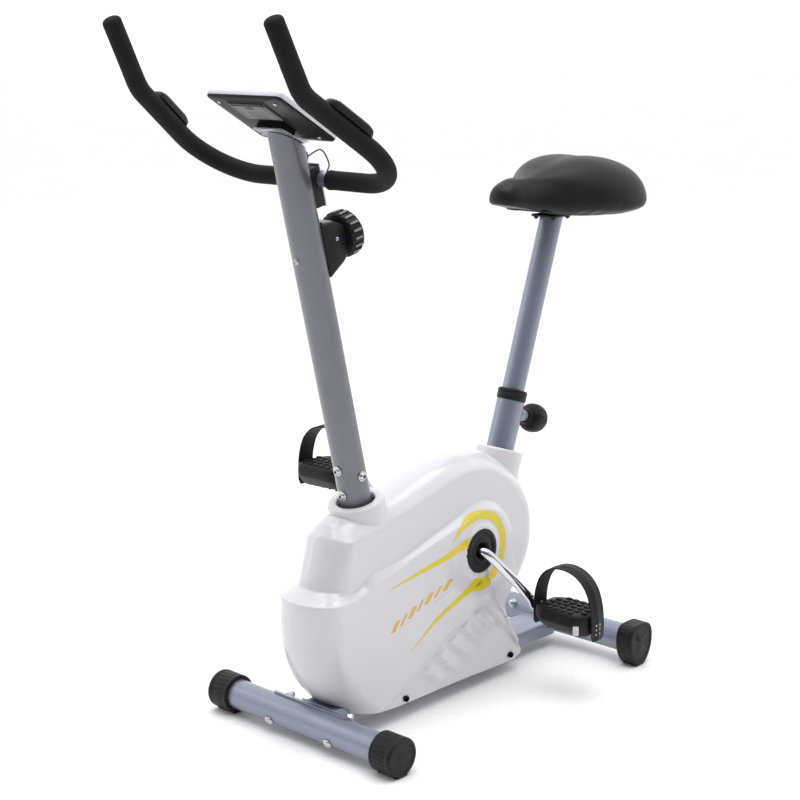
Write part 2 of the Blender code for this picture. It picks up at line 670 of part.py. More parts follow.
def make_cover(name, sign):
    """Half of the plastic housing: a 3 mm shell, open at the joint, round the frame and the crank."""
    outer = [(0.00015, 0.0), (0.022, 0.0), (0.038, 0.0), (0.050, 0.0), (0.058, 0.0),
             (0.0625, 0.0), (COVER_SIDE_X, 0.0035)]
    inner = [(0.00015, COVER_WALL), (0.024, COVER_WALL), (0.042, COVER_WALL), (0.054, COVER_WALL),
             (COVER_SIDE_X - COVER_WALL, 0.0055)]
    rings = []
    for x, inset in list(reversed(inner)) + outer:
        shape = min(x, 0.0612)
        rings.append([Vector((sign * x, p.x, p.y)) for p in cover_ring(shape, inset)])
    cover = loft(name, rings, "white_gloss", sharp=30.0)
    side = name.split("_")[1]
    boss = turned("join_boss_" + side, CRANK_AXIS, X_AXIS * sign,
                  [(COVER_SIDE_X - 0.002, 0.050), (COVER_SIDE_X + 0.006, 0.050), (0.0738, 0.043)],
                  "white_gloss", 28)
    combine(cover, boss, "UNION")
    drill((cover,), "cut_crank_" + side, CRANK_AXIS, X_AXIS * sign, 0.0215, 0.03, 0.10, 20)
    drill((cover,), "cut_post_collar_" + side, post_point(0.36), POST_UP, POST_COLLAR_RADIUS + GAP,
          -0.025, 0.08, 28)
    drill((cover,), "cut_seat_collar_" + side, seat_point(0.36), SEAT_UP, SEAT_COLLAR_RADIUS + GAP,
          -0.055, 0.12, 28)
    tunnel = block("cut_tunnel_" + side, Vector((0.0, 0.26, 0.0200)),
                   (X_AXIS, Vector((0.0, 1.0, 0.0)), Vector((0.0, 0.0, 1.0))),
                   (BASE_HALF_WIDTH + 0.0008, 0.34, BASE_TOP + 0.0008 - 0.0200), "zinc")
    combine(cover, tunnel)
    return cover


POST_COLLAR_RADIUS = 0.0476
SEAT_COLLAR_RADIUS = 0.0390


def make_collars():
    low = post_point(0.383)
    profile = [(-0.036, 0.0300), (-0.036, POST_COLLAR_RADIUS), (-0.004, POST_COLLAR_RADIUS),
               (0.0, POST_COLLAR_RADIUS - 0.004), (0.0, 0.0300)]
    turned("post_collar", low, POST_UP, profile, "white_gloss", 22, closed=True)
    top = seat_point(0.399)
    profile = [(-0.062, 0.0262), (-0.062, SEAT_COLLAR_RADIUS), (-0.003, SEAT_COLLAR_RADIUS),
               (0.0, SEAT_COLLAR_RADIUS - 0.003), (0.0, 0.0262)]
    turned("seat_collar", top, SEAT_UP, profile, "white_gloss", 22, closed=True)


def slanted_profile(name, origin, shape, half_x, material, pivot=None):
    """A flat outline given as (along the post, out from the post axis), extruded sideways."""
    rings = [[origin + POST_UP * s + POST_BACK * t + X_AXIS * x for s, t in shape]
             for x in (-half_x, half_x)]
    return loft(name, rings, material, pivot)


def make_tension_control():
    origin = post_point(0.800)
    shape = [(0.021, 0.066), (-0.020, 0.066), (-0.034, 0.056), (-0.051, 0.018), (0.034, 0.018),
             (0.031, 0.048)]
    housing = slanted_profile("tension_housing", origin, shape, 0.021, "black_plastic")
    drill((housing,), "cut_tension_seat", origin, POST_UP, POST_RADIUS + 2 * GAP, -0.08, 0.08, 24)
    drill((housing,), "cut_tension_bore", origin, POST_BACK, 0.0045, 0.046, 0.08, 14)
    profile = [(0.0490, 0.0030), (0.0495, 0.0038), (0.0670, 0.0038), (0.0670, 0.0342),
               (0.0690, 0.0370), (0.0890, 0.0370), (0.0925, 0.0342), (0.0925, 0.0140), (0.0905, 0.0125)]
    turned("tension_knob", origin, POST_BACK, profile, "black_plastic", 18,
           origin + POST_BACK * 0.080)


def bar_corners(sign):
    return [Vector((sign * x, y, z)) for x, y, z in (
        (0.048, BAR_Y, BAR_Z), (0.2211, 0.0251, BAR_Z), (0.1758, -0.160, 1.0434),
        (0.1731, -0.2075, 1.1412))]


def half_bar(sign, start_x):
    corners = [Vector((sign * start_x, BAR_Y, BAR_Z))] + bar_corners(sign)
    return rounded_path(corners, [0.40, 0.090, 0.055], [1, 5, 3])


def make_handlebar():
    """Bent steel tube with an open bore, in the shape of a pair of bull's horns."""
    left = half_bar(1.0, 0.012)
    right = half_bar(-1.0, 0.012)
    path = list(reversed(left)) + right
    pivot = Vector((0.0, BAR_Y, BAR_Z))
    outer = swept_rings(path, BAR_RADIUS, BAR_SIDES)
    inner = swept_rings(path, BAR_RADIUS - BAR_WALL, BAR_SIDES)
    loft("handlebar", outer + list(reversed(inner)), "grey_paint", pivot, closed=True)


def make_grip(name, sign):
    """Foam sleeve from beside the clamp to a rounded end over the tip of the bar."""
    path = half_bar(sign, 0.037)
    pivot = Vector((0.0, BAR_Y, BAR_Z))
    ahead = (path[-1] - path[-2]).normalized()
    bore = (BAR_RADIUS + GAP) / math.cos(math.pi / BAR_SIDES)
    inner = swept_rings(path[:-1] + [path[-1] + ahead * GAP], bore, BAR_SIDES)
    skin = swept_rings(path, FOAM_RADIUS, BAR_SIDES)
    side, up, along = frames_along(path)[-1][1:]
    for reach, radius in ((0.0035, FOAM_RADIUS * 0.93), (0.0062, FOAM_RADIUS * 0.72),
                          (0.0076, FOAM_RADIUS * 0.36)):
        skin.append(circle(path[-1] + ahead * reach, side, up, radius, BAR_SIDES))
    loft(name, list(reversed(inner)) + skin, "black_foam", pivot)


def make_pulse_pod(name, sign):
    """Hand-pulse sensor housing strapped on the rider's side of the grip."""
    corners = bar_corners(sign)
    along = (corners[2] - corners[1]).normalized()
    out = Vector((0.0, 0.0, 1.0))
    out = (out - along * out.z).normalized()
    across = along.cross(out)
    centre = corners[1] + along * 0.1545
    pod = block(name, centre + out * 0.0165, (across, out, along), (0.0125, 0.0078, 0.0430),
                "black_plastic", Vector((0.0, BAR_Y, BAR_Z)), 0.0045)
    drill((pod,), "cut_" + name, centre, along, FOAM_RADIUS + 3 * GAP, -0.07, 0.07, 20)


def make_clamp():
    """Welded saddle block, outer clamp plate and its bolt."""
    centre = Vector((0.0, BAR_Y, BAR_Z))
    reach = (centre - post_point(BAR_Z)).dot(POST_BACK)
    origin = centre - POST_BACK * reach
    seat = reach - 0.0013
    shape = [(0.022, seat), (-0.040, seat), (-0.040, 0.016), (0.022, 0.016)]
    base = slanted_profile("clamp_base", origin, shape, 0.018, "black_plastic")
    drill((base,), "cut_clamp_post", origin, POST_UP, POST_RADIUS + 2 * GAP, -0.06, 0.06, 24)
    drill((base,), "cut_clamp_bar", centre, X_AXIS, BAR_RADIUS + GAP, -0.03, 0.03, 24)
    inner = BAR_RADIUS + GAP + 0.0002
    outer = inner + 0.0027
    low = seat + GAP
    high = low + 0.0025
    shape = [(-0.042, low)]
    first = math.asin((low - reach) / inner)
    last = math.asin((high - reach) / outer)
    shape += [(inner * math.cos(t), reach + inner * math.sin(t)) for t in
              (math.pi - first - (math.pi - 2 * first) * k / 10 for k in range(11))]
    shape += [(0.025, low), (0.025, high)]
    shape += [(outer * math.cos(t), reach + outer * math.sin(t)) for t in
              (last + (math.pi - 2 * last) * k / 10 for k in range(11))]
    shape += [(-0.042, high)]
    cap = slanted_profile("clamp_cap", origin, list(reversed(shape)), 0.0175, "zinc")
    point = origin - POST_UP * 0.0275
    drill((base, cap), "cut_clamp_bolt", point, POST_BACK, 0.0030 + GAP, 0.0300, 0.06, 12)
    profile = [(0.0306, 0.0030), (high + GAP, 0.0030), (high + GAP, 0.0062), (high + 0.0028, 0.0060),
               (high + 0.0040, 0.0042)]
    turned("clamp_bolt", point, POST_BACK, profile, "zinc", 12)


def console_point(x, down, normal):
    return CONSOLE_CENTRE + X_AXIS * x + CONSOLE_DOWN * down + CONSOLE_NORMAL * normal


def console_plate(half_x, low, high, normal, chamfer):
    """Eight corners of a plate outline at one height above the console's mid plane."""
    k = chamfer
    return [console_point(x, d, normal) for x, d in (
        (half_x, low + k), (half_x, high - k), (half_x - k, high), (k - half_x, high),
        (-half_x, high - k), (-half_x, low + k), (k - half_x, low), (half_x - k, low))]


CROWN_NORMAL = Vector((0.0, math.sin(math.radians(25.0)), math.cos(math.radians(25.0))))


def make_console():
    axes = (X_AXIS, CONSOLE_DOWN, CONSOLE_NORMAL)
    hx = CONSOLE_HALF_X
    hy = CONSOLE_HALF_Y
    shell = loft("console_shell", [
        console_plate(0.0400, -0.0580, 0.0520, -0.0121, 0.006),
        console_plate(0.0430, -0.0610, 0.0550, -0.0112, 0.006),
        console_plate(hx - 0.0008, 0.0008 - hy, hy - 0.0008, -0.0070, 0.006),
        console_plate(hx - 0.0006, 0.0006 - hy, hy - 0.0006, -0.0042, 0.006)], "black_plastic")
    pocket = block("cut_battery", console_point(0.0, -0.0290, -0.0135), axes,
                   (0.0315, 0.0205, 0.0060), "zinc")
    combine(shell, pocket)
    top = loft("console_top", [
        console_plate(hx, -hy, hy, -0.0039, 0.006), console_plate(hx, -hy, hy, 0.0030, 0.006),
        console_plate(hx - 0.003, 0.003 - hy, hy - 0.003, 0.0060, 0.005)], "white_gloss")
    window = block("cut_window", console_point(0.0, -0.0150, 0.0), axes, (0.0560, 0.0360, 0.02), "zinc")
    combine(top, window)
    block("console_screen", console_point(0.0, -0.0150, 0.0005), axes, (0.0556, 0.0356, 0.0040),
          "screen_glass")
    button = console_point(0.0, 0.0430, 0.0)
    drill((top,), "cut_button", button, CONSOLE_NORMAL, 0.0095, -0.02, 0.02, 20)
    turned("button_mode", button, CONSOLE_NORMAL,
           [(-0.0010, 0.0090), (0.0070, 0.0090), (0.0080, 0.0078)], "black_plastic", 20, button)
    door_hinge = console_point(0.0, -0.0080, -0.0125)
    block("battery_door", console_point(0.0, -0.0290, -0.0125), axes, (0.0310, 0.0200, 0.0010),
          "grey_plastic", door_hinge)
    crown = crown_point()
    rings = []
    for lift, top_side in ((0.0, False), (0.0, True)):
        ring = []
        for x, d in ((0.032, 0.0005), (0.032, 0.0540), (-0.032, 0.0540), (-0.032, 0.0005)):
            upper = console_point(x, d, -0.0124)
            ring.append(upper if top_side else on_plane(upper, CONSOLE_NORMAL,
                                                        crown + CROWN_NORMAL * 0.0004, CROWN_NORMAL))
        rings.append(ring)
    bracket = loft("console_bracket", rings, "zinc")
    plug_top = crown + CROWN_NORMAL * 0.0008
    plug = pipe("join_bracket_plug", post_point(0.935), plug_top, POST_RADIUS - POST_WALL - 0.0008,
                0.0195, "zinc", 28, end_normal=CROWN_NORMAL)
    combine(bracket, plug, "UNION")
    return shell


def crown_point():
    return post_point(0.968)


def make_wires():
    for side, sign in (("left", 1.0), ("right", -1.0)):
        start = post_point(0.935) + POST_BACK * 0.0255 + X_AXIS * (sign * 0.0024)
        lift = 0.012 if sign > 0 else 0.006
        out = 0.030 if sign > 0 else 0.020
        corners = [start, start + POST_BACK * 0.008 + X_AXIS * (sign * 0.001),
                   start + POST_BACK * out + X_AXIS * (sign * 0.008) + Vector((0, 0, lift * 0.3)),
                   Vector((sign * 0.0235, BAR_Y + 0.010, BAR_Z + 0.024)),
                   Vector((sign * 0.0270, BAR_Y + 0.002, BAR_Z + 0.0128))]
        cord("pulse_wire_" + side, corners, 0.0011, "black_plastic")
    hole = post_point(0.800)
    corners = [hole + POST_BACK * 0.0255, hole + POST_BACK * 0.012 - POST_UP * 0.004,
               post_point(0.770), post_point(0.700), post_point(0.620), post_point(0.540),
               post_point(0.460), post_point(0.380), post_point(0.335),
               post_point(0.3005) - POST_BACK * 0.0205,
               Vector((0.020, 0.080, 0.270)), Vector((0.034, 0.056, 0.220)),
               Vector((0.038, 0.0500, 0.186))]
    cord("tension_cable", corners, 0.0014, "black_plastic")


def make_seat_support():
    """Seat tube with the knob's nut, plastic bushing, sliding post and the pull knob."""
    inner = SEAT_TUBE_RADIUS - SEAT_TUBE_WALL
    tube = pipe("seat_tube", seat_point(BASE_TOP + GAP), seat_point(SEAT_TUBE_TOP_Z), SEAT_TUBE_RADIUS,
                inner, "light_grey_paint", 20, start_normal=Vector((0.0, 0.0, 1.0)))
    knob_at = seat_point(0.462)
    nut = turned("join_seat_nut", knob_at, SEAT_BACK, [(0.0235, 0.0105), (0.0480, 0.0105)], "zinc", 12)
    combine(tube, nut, "UNION")
    drill((tube,), "cut_seat_pin", knob_at, SEAT_BACK, 0.0046, 0.012, 0.06, 14)
    drill((tube,), "cut_seat_mark", seat_point(0.472), -SEAT_BACK, 0.0030, 0.012, 0.04, 12)
    top = seat_point(SEAT_TUBE_TOP_Z)
    bore = SEAT_POST_RADIUS + GAP
    profile = [(-0.0140, bore), (-0.0140, inner - GAP), (GAP, inner - GAP), (GAP, 0.0258),
               (0.0030, 0.0264), (0.0170, 0.0264), (0.0195, 0.0250), (0.0195, bore)]
    turned("seat_bushing", top, SEAT_UP, profile, "black_plastic", 18, closed=True)
    lower = seat_point(0.250)
    post = pipe("seat_post", lower, seat_point(0.803), SEAT_POST_RADIUS,
                SEAT_POST_RADIUS - SEAT_POST_WALL, "light_grey_paint", 18,
                end_normal=Vector((0.0, 0.0, 1.0)), pivot=seat_point(SEAT_TUBE_TOP_Z))
    flange = block("join_seat_flange", Vector((0.0, seat_point(0.803).y, 0.8032)),
                   (X_AXIS, Vector((0.0, 1.0, 0.0)), Vector((0.0, 0.0, 1.0))),
                   (0.032, 0.034, 0.0018), "zinc")
    combine(post, flange, "UNION")
    knob_profile = [(0.0212, 0.0030), (0.0216, 0.0040), (0.0490, 0.0040), (0.0490, 0.0120),
                    (0.0560, 0.0165), (0.0620, 0.0232), (0.0700, 0.0262), (0.0800, 0.0262),
                    (0.0900, 0.0225), (0.0970, 0.0140), (0.0995, 0.0050)]
    turned("seat_knob", knob_at, SEAT_BACK, knob_profile, "black_plastic", 14,
           knob_at + SEAT_BACK * 0.075)


# saddle stations from nose to rear: y, half width, top and bottom, in millimetres
SADDLE_STATIONS = (
    (457, 8, 855, 843), (466, 24, 864, 837), (485, 35, 868, 831), (512, 43, 868, 825),
    (542, 52, 873, 819), (572, 70, 886, 814), (605, 94, 900, 809), (640, 114, 908, 807),
    (680, 124, 909, 806), (720, 125, 904, 807), (752, 117, 894, 810), (776, 98, 881, 815),
    (792, 66, 864, 824), (798, 36, 852, 833))


def saddle_section(station, lift, count=16):
    """A rounded section with a groove between the two seat lobes."""
    y, half, top, bottom = (value * 0.001 for value in station)
    bottom += lift
    height = top - bottom
    groove = 0.010 * max(0.0, min(1.0, (y - 0.53) / 0.10)) * max(0.0, min(1.0, (0.80 - y) / 0.05))
    ring = []
    for k in range(count):
        angle = 2 * math.pi * k / count
        cosine = math.cos(angle)
        sine = math.sin(angle)
        x = half * math.copysign(abs(cosine) ** 0.62, cosine)
        if sine >= 0.0:
            z = bottom + height * (0.30 + 0.70 * sine ** 0.80)
            z -= groove * math.exp(-(x / 0.022) ** 2)
        else:
            z = bottom + height * 0.30 * (1.0 - abs(sine) ** 0.55)
        ring.append(Vector((x, y, z)))
    return ring


def make_saddle():
    pivot = seat_point(SEAT_TUBE_TOP_Z)
    rings = [saddle_section(station, 0.0032) for station in SADDLE_STATIONS]
    loft("saddle", rings, "black_vinyl", pivot, sharp=60.0)
    rings = []
    for y, half, top, bottom in SADDLE_STATIONS[3:12]:
        z = bottom * 0.001
        half = half * 0.00078
        rings.append([Vector((x, y * 0.001, h)) for x, h in (
            (half, z - 0.0008), (half, z + 0.0026), (-half, z + 0.0026), (-half, z - 0.0008))])
    loft("saddle_pan", rings, "black_plastic", pivot)


def make_pedal(side, sign):
    """Block pedal on the crank's spindle with its arched toe strap."""
    centre = CRANK_AXIS + ARM * (sign * CRANK_RADIUS)
    up = Vector((0.0, 0.0, 1.0))
    back = Vector((0.0, 1.0, 0.0))
    rings = []
    for x, half, low, high in ((0.1385, 0.018, -0.018, 0.010), (0.1450, 0.027, -0.022, 0.013),
                               (0.1680, 0.038, -0.025, 0.015), (0.2320, 0.041, -0.027, 0.015),
                               (0.2460, 0.031, -0.024, 0.013), (0.2520, 0.020, -0.018, 0.010)):
        shape = [(half, -0.004), (half, 0.006), (half * 0.86, high), (-half * 0.86, high),
                 (-half, 0.006), (-half, -0.004), (-half * 0.55, low), (half * 0.55, low)]
        rings.append([centre + X_AXIS * (sign * x) + back * y + up * z for y, z in shape])
    body = loft("pedal_" + side, rings, "black_plastic", centre)
    drill((body,), "cut_pedal_" + side, centre, X_AXIS * sign, 0.0066, 0.13, 0.2335, 16)
    line = smooth_curve([Vector((x, 0.0, z)) for x, z in (
        (0.1345, -0.027), (0.1345, 0.000), (0.1375, 0.028), (0.1500, 0.055), (0.1740, 0.0715),
        (0.2020, 0.0740), (0.2320, 0.0620), (0.2510, 0.0380), (0.2570, 0.008), (0.2575, -0.032))],
        2, closed=False)
    rings = []
    for k, point in enumerate(line):
        ahead = (line[min(k + 1, len(line) - 1)] - line[max(k - 1, 0)]).normalized()
        normal = Vector((-ahead.z, 0.0, ahead.x))
        ring = []
        for y, t in ((-0.0115, 0.0014), (0.0235, 0.0014), (0.0235, -0.0014), (-0.0115, -0.0014)):
            spot = point + normal * t
            ring.append(centre + Vector((sign * spot.x, y, spot.z)))
        rings.append(ring)
    strap = loft("strap_" + side, rings, "black_plastic", centre)
    drill((strap,), "cut_strap_" + side, centre, X_AXIS * sign, 0.0095, 0.131, 0.138, 16)


def place_on_origin():
    """Moves the finished bike so that the origin lies under its middle."""
    for item in bpy.data.objects:
        if item.parent is None:
            item.location.y += FRONT_AXIS_Y


def main():
    clear_scene()
    make_floor_frame()
    make_handlebar_post()
    make_magnet_support(bpy.data.objects["post_stub"])
    make_drive_frame()
    make_crank()
    make_crank_parts()
    make_flywheel()
    make_belt()
    make_magnet_bracket()
    make_cover("housing_left", 1.0)
    make_cover("housing_right", -1.0)
    make_collars()
    make_tension_control()
    make_handlebar()
    make_clamp()
    for side, sign in (("left", 1.0), ("right", -1.0)):
        make_grip("grip_" + side, sign)
        make_pulse_pod("pulse_pod_" + side, sign)
        make_pedal(side, sign)
    make_console()
    make_wires()
    make_seat_support()
    make_saddle()
    place_on_origin()


main()
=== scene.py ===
import math

import bmesh
import bpy
import numpy as np
from mathutils import Matrix, Vector
from mathutils.bvhtree import BVHTree


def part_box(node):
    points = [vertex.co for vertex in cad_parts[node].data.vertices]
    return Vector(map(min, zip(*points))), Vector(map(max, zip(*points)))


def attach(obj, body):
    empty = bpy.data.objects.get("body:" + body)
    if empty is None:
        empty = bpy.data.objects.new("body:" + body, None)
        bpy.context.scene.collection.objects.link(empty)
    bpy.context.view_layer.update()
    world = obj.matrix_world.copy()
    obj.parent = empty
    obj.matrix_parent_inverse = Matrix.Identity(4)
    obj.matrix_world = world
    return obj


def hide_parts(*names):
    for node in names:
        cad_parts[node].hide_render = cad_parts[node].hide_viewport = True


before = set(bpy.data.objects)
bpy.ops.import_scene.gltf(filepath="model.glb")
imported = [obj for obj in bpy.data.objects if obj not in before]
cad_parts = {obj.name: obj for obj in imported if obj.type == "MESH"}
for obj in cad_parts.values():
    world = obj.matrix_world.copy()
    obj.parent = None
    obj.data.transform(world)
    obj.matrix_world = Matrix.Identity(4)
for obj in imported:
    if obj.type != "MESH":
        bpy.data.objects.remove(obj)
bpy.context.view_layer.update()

V = Vector
low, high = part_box("front_stabilizer")
SHIFT = V((0.0, (low.y + high.y) / 2, 0.0))
X = V((1.0, 0.0, 0.0))
Z = V((0.0, 0.0, 1.0))
SIDES = (("left", 1.0), ("right", -1.0))


# ---------------------------------------------------------------- finishes
def finish(name, colour, rough, metal=0.0, mottle=0.06, mottle_scale=9.0, grain=0.00005, grain_scale=900.0,
           cells=0.0, cell_scale=700.0, stretch=(1.0, 1.0, 1.0), spread=0.10, coat=0.0, fleck=0.0, dirt=0.0,
           shine=0.5, grit=0.6):
    """A procedural surface: large uneven tone, fine grain, optional leather cells, flecks and dust.

    Grain and cells are bump depths in metres. Spread is how far the roughness wanders, shine the strength of
    the highlight and grit the share of dark specks.
    """
    made = bpy.data.materials.new(name)
    made.use_nodes = True
    tree = made.node_tree
    nodes, links = tree.nodes, tree.links
    shader = nodes["Principled BSDF"]
    shader.inputs["Metallic"].default_value = metal
    shader.inputs["Specular IOR Level"].default_value = shine
    if coat:
        shader.inputs["Coat Weight"].default_value = coat
        shader.inputs["Coat Roughness"].default_value = 0.06
    spot = nodes.new("ShaderNodeTexCoord")
    fit = nodes.new("ShaderNodeMapping")
    fit.inputs["Scale"].default_value = stretch
    links.new(spot.outputs["Object"], fit.inputs["Vector"])

    def noise(scale, detail):
        node = nodes.new("ShaderNodeTexNoise")
        node.inputs["Scale"].default_value = scale
        node.inputs["Detail"].default_value = detail
        node.inputs["Roughness"].default_value = 0.6
        links.new(fit.outputs["Vector"], node.inputs["Vector"])
        return node

    def ramp(source, stops):
        node = nodes.new("ShaderNodeValToRGB")
        while len(node.color_ramp.elements) < len(stops):
            node.color_ramp.elements.new(0.5)
        for element, (place, value) in zip(node.color_ramp.elements, stops):
            element.position = place
            element.color = value if len(value) == 4 else (*value, 1.0)
        links.new(source, node.inputs["Fac"])
        return node

    def mixed(kind, share, a, b):
        node = nodes.new("ShaderNodeMix")
        node.data_type = "RGBA"
        node.blend_type = kind
        if isinstance(share, float):
            node.inputs[0].default_value = share
        else:
            links.new(share, node.inputs[0])
        links.new(a, node.inputs[6])
        if isinstance(b, tuple):
            node.inputs[7].default_value = b
        else:
            links.new(b, node.inputs[7])
        return node.outputs[2]

    dark = tuple(c * (1.0 - mottle) for c in colour)
    light = tuple(min(1.0, c * (1.0 + mottle)) for c in colour)
    tone = ramp(noise(mottle_scale, 4.0).outputs["Fac"], [(0.30, dark), (0.70, light)]).outputs["Color"]
    speck = ramp(noise(grain_scale * 0.7, 2.0).outputs["Fac"], [(0.35, (0.90,) * 3), (0.65, (1.0,) * 3)])
    tone = mixed("MULTIPLY", grit, tone, speck.outputs["Color"])
    if fleck:
        flake = nodes.new("ShaderNodeTexVoronoi")
        flake.inputs["Scale"].default_value = 2600.0
        links.new(fit.outputs["Vector"], flake.inputs["Vector"])
        bright = ramp(flake.outputs["Color"], [(0.62, (0.0,) * 3), (0.95, (fleck,) * 3)])
        tone = mixed("ADD", 1.0, tone, bright.outputs["Color"])
    if dirt:
        dust = ramp(noise(55.0, 8.0).outputs["Fac"], [(0.52, (0.0,) * 3), (0.80, (dirt,) * 3)])
        tone = mixed("MIX", dust.outputs["Color"], tone, (0.42, 0.41, 0.40, 1.0))
    links.new(tone, shader.inputs["Base Color"])
    worn = nodes.new("ShaderNodeMapRange")
    worn.inputs["To Min"].default_value = max(0.02, rough * (1.0 - spread))
    worn.inputs["To Max"].default_value = min(1.0, rough * (1.0 + spread) + 0.02)
    links.new(noise(38.0, 6.0).outputs["Fac"], worn.inputs["Value"])
    links.new(worn.outputs["Result"], shader.inputs["Roughness"])
    bump = nodes.new("ShaderNodeBump")
    bump.inputs["Distance"].default_value = grain
    links.new(noise(grain_scale, 3.0).outputs["Fac"], bump.inputs["Height"])
    last = bump
    if cells:
        cell = nodes.new("ShaderNodeTexVoronoi")
        cell.feature = "SMOOTH_F1"
        cell.inputs["Scale"].default_value = cell_scale
        links.new(fit.outputs["Vector"], cell.inputs["Vector"])
        pebble = nodes.new("ShaderNodeBump")
        pebble.invert = True
        pebble.inputs["Distance"].default_value = cells
        links.new(cell.outputs["Distance"], pebble.inputs["Height"])
        links.new(bump.outputs["Normal"], pebble.inputs["Normal"])
        last = pebble
    links.new(last.outputs["Normal"], shader.inputs["Normal"])
    return made


POST_GREY = finish("paint_post_grey", (0.150, 0.157, 0.180), 0.36, 0.55, fleck=0.02, grain=0.00003,
                   grain_scale=500.0, coat=0.5)
LIGHT_GREY = finish("paint_light_grey", (0.235, 0.262, 0.330), 0.36, 0.50, fleck=0.03, grain=0.00003,
                    grain_scale=500.0, coat=0.5)
WHITE = finish("white_gloss", (0.650, 0.632, 0.660), 0.22, mottle=0.012, mottle_scale=5.0, grain=0.000002,
               grain_scale=240.0, coat=0.4, dirt=0.008, grit=0.08)
BLACK = finish("black_plastic", (0.009, 0.009, 0.0095), 0.46, mottle=0.25, grain=0.00006, grain_scale=1400.0,
               dirt=0.012, spread=0.18, shine=0.22)
SATIN = finish("black_satin", (0.006, 0.006, 0.0065), 0.30, mottle=0.2, grain=0.00002, grain_scale=900.0, dirt=0.008,
               shine=0.16)
FOAM = finish("black_foam", (0.0085, 0.0085, 0.009), 0.80, mottle=0.3, grain=0.00022, grain_scale=1500.0,
              cells=0.00025, cell_scale=1100.0, shine=0.20)
VINYL = finish("black_vinyl", (0.008, 0.008, 0.0085), 0.42, mottle=0.25, grain=0.00005, grain_scale=1800.0,
               cells=0.00018, cell_scale=750.0, spread=0.16, shine=0.24)
GREY = finish("grey_plastic", (0.20, 0.20, 0.21), 0.45, mottle=0.08, grain=0.00006, grain_scale=1100.0)
CHROME = finish("chrome", (0.66, 0.67, 0.70), 0.09, 1.0, mottle=0.05, grain=0.000006, grain_scale=260.0, spread=0.5)
ZINC = finish("zinc", (0.56, 0.57, 0.60), 0.27, 1.0, mottle=0.12, mottle_scale=60.0, grain=0.00002,
              stretch=(1.0, 1.0, 6.0), spread=0.35)
IRON = finish("cast_iron", (0.09, 0.09, 0.10), 0.60, 0.8, mottle=0.25, grain=0.0003, grain_scale=420.0)
RUBBER = finish("belt_rubber", (0.014, 0.014, 0.014), 0.74, mottle=0.3, grain=0.0001, grain_scale=700.0)
GLASS = finish("screen_glass", (0.075, 0.095, 0.080), 0.10, mottle=0.06, grain=0.000004, coat=1.0)
YELLOW = finish("yellow_print", (0.72, 0.58, 0.010), 0.30, mottle=0.05, grain=0.00001, coat=0.3)
GOLD = finish("gold_print", (0.70, 0.44, 0.06), 0.34, 0.2, mottle=0.08, grain=0.00001, coat=0.3)

SLOT_FINISH = {"grey_paint": POST_GREY, "light_grey_paint": LIGHT_GREY, "white_gloss": WHITE, "black_plastic": BLACK,
               "black_foam": FOAM, "black_vinyl": VINYL, "grey_plastic": GREY, "screen_glass": GLASS, "chrome": CHROME,
               "zinc": ZINC, "cast_iron": IRON, "belt_rubber": RUBBER}
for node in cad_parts.values():
    for held in node.material_slots:
        held.material = SLOT_FINISH[held.material.name.split(".")[0]]


# ---------------------------------------------------------------- mesh helpers, in the part's modelling frame
def raw_mesh(name, points, faces):
    """A mesh from points in the part's modelling frame."""
    mesh = bpy.data.meshes.new(name)
    mesh.from_pydata([tuple(V(p) + SHIFT) for p in points], [], faces)
    return mesh


def linked(name, data):
    """An object for the data, linked into the scene."""
    made = bpy.data.objects.new(name, data)
    bpy.context.scene.collection.objects.link(made)
    return made


def carried(made, body, nodes):
    """Lets a piece ride on a body and stand for CAD nodes."""
    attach(made, body)
    if nodes:
        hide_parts(*nodes)
    return made


def settled(made, sharp=None):
    """Applies a piece's modifiers for good, marks its sharp edges if asked, and returns its new mesh."""
    bpy.context.view_layer.update()
    graph = bpy.context.evaluated_depsgraph_get()
    final = bpy.data.meshes.new_from_object(made.evaluated_get(graph))
    made.modifiers.clear()
    made.data = final
    final.shade_smooth()
    if sharp is not None:
        final.set_sharp_from_angle(angle=math.radians(sharp))
    return final


def piece(name, points, faces, look, body, nodes=(), slot=None, sharp=35.0):
    """One smooth-shaded mesh piece that rides on a body and may stand for CAD nodes."""
    mesh = raw_mesh(name, points, faces)
    work = bmesh.new()
    work.from_mesh(mesh)
    bmesh.ops.remove_doubles(work, verts=work.verts[:], dist=2e-6)
    bmesh.ops.recalc_face_normals(work, faces=work.faces[:])
    if work.calc_volume(signed=True) < 0.0:
        bmesh.ops.reverse_faces(work, faces=work.faces[:])
    work.to_mesh(mesh)
    work.free()
    mesh.shade_smooth()
    mesh.set_sharp_from_angle(angle=math.radians(sharp))
    mesh.materials.append(look)
    return carried(linked(name, mesh), body, nodes)


SLOT_OF = {look.name: name for name, look in SLOT_FINISH.items()}
SLOT_OF.update({SATIN.name: "black_plastic", YELLOW.name: "white_gloss", GOLD.name: "white_gloss"})


def skin(rings, closed=False):
    """Points and faces of a surface through equal rings, with filled ends unless it closes on itself."""
    count = len(rings[0])
    faces = []
    for k in range(len(rings) if closed else len(rings) - 1):
        a, b = k * count, ((k + 1) % len(rings)) * count
        faces += [(a + j, a + (j + 1) % count, b + (j + 1) % count, b + j) for j in range(count)]
    if not closed:
        faces.append(tuple(reversed(range(count))))
        faces.append(tuple(range((len(rings) - 1) * count, len(rings) * count)))
    return [p for ring in rings for p in ring], faces


def lofted(name, rings, look, body, nodes=(), slot=None, sharp=35.0, closed=False):
    """A piece skinned over equal rings."""
    return piece(name, *skin(rings, closed), look, body, nodes, slot, sharp)


def circle(radius, count):
    """The (across, up) pairs of a ring's points."""
    return [(radius * math.cos(2 * math.pi * k / count), radius * math.sin(2 * math.pi * k / count))
            for k in range(count)]


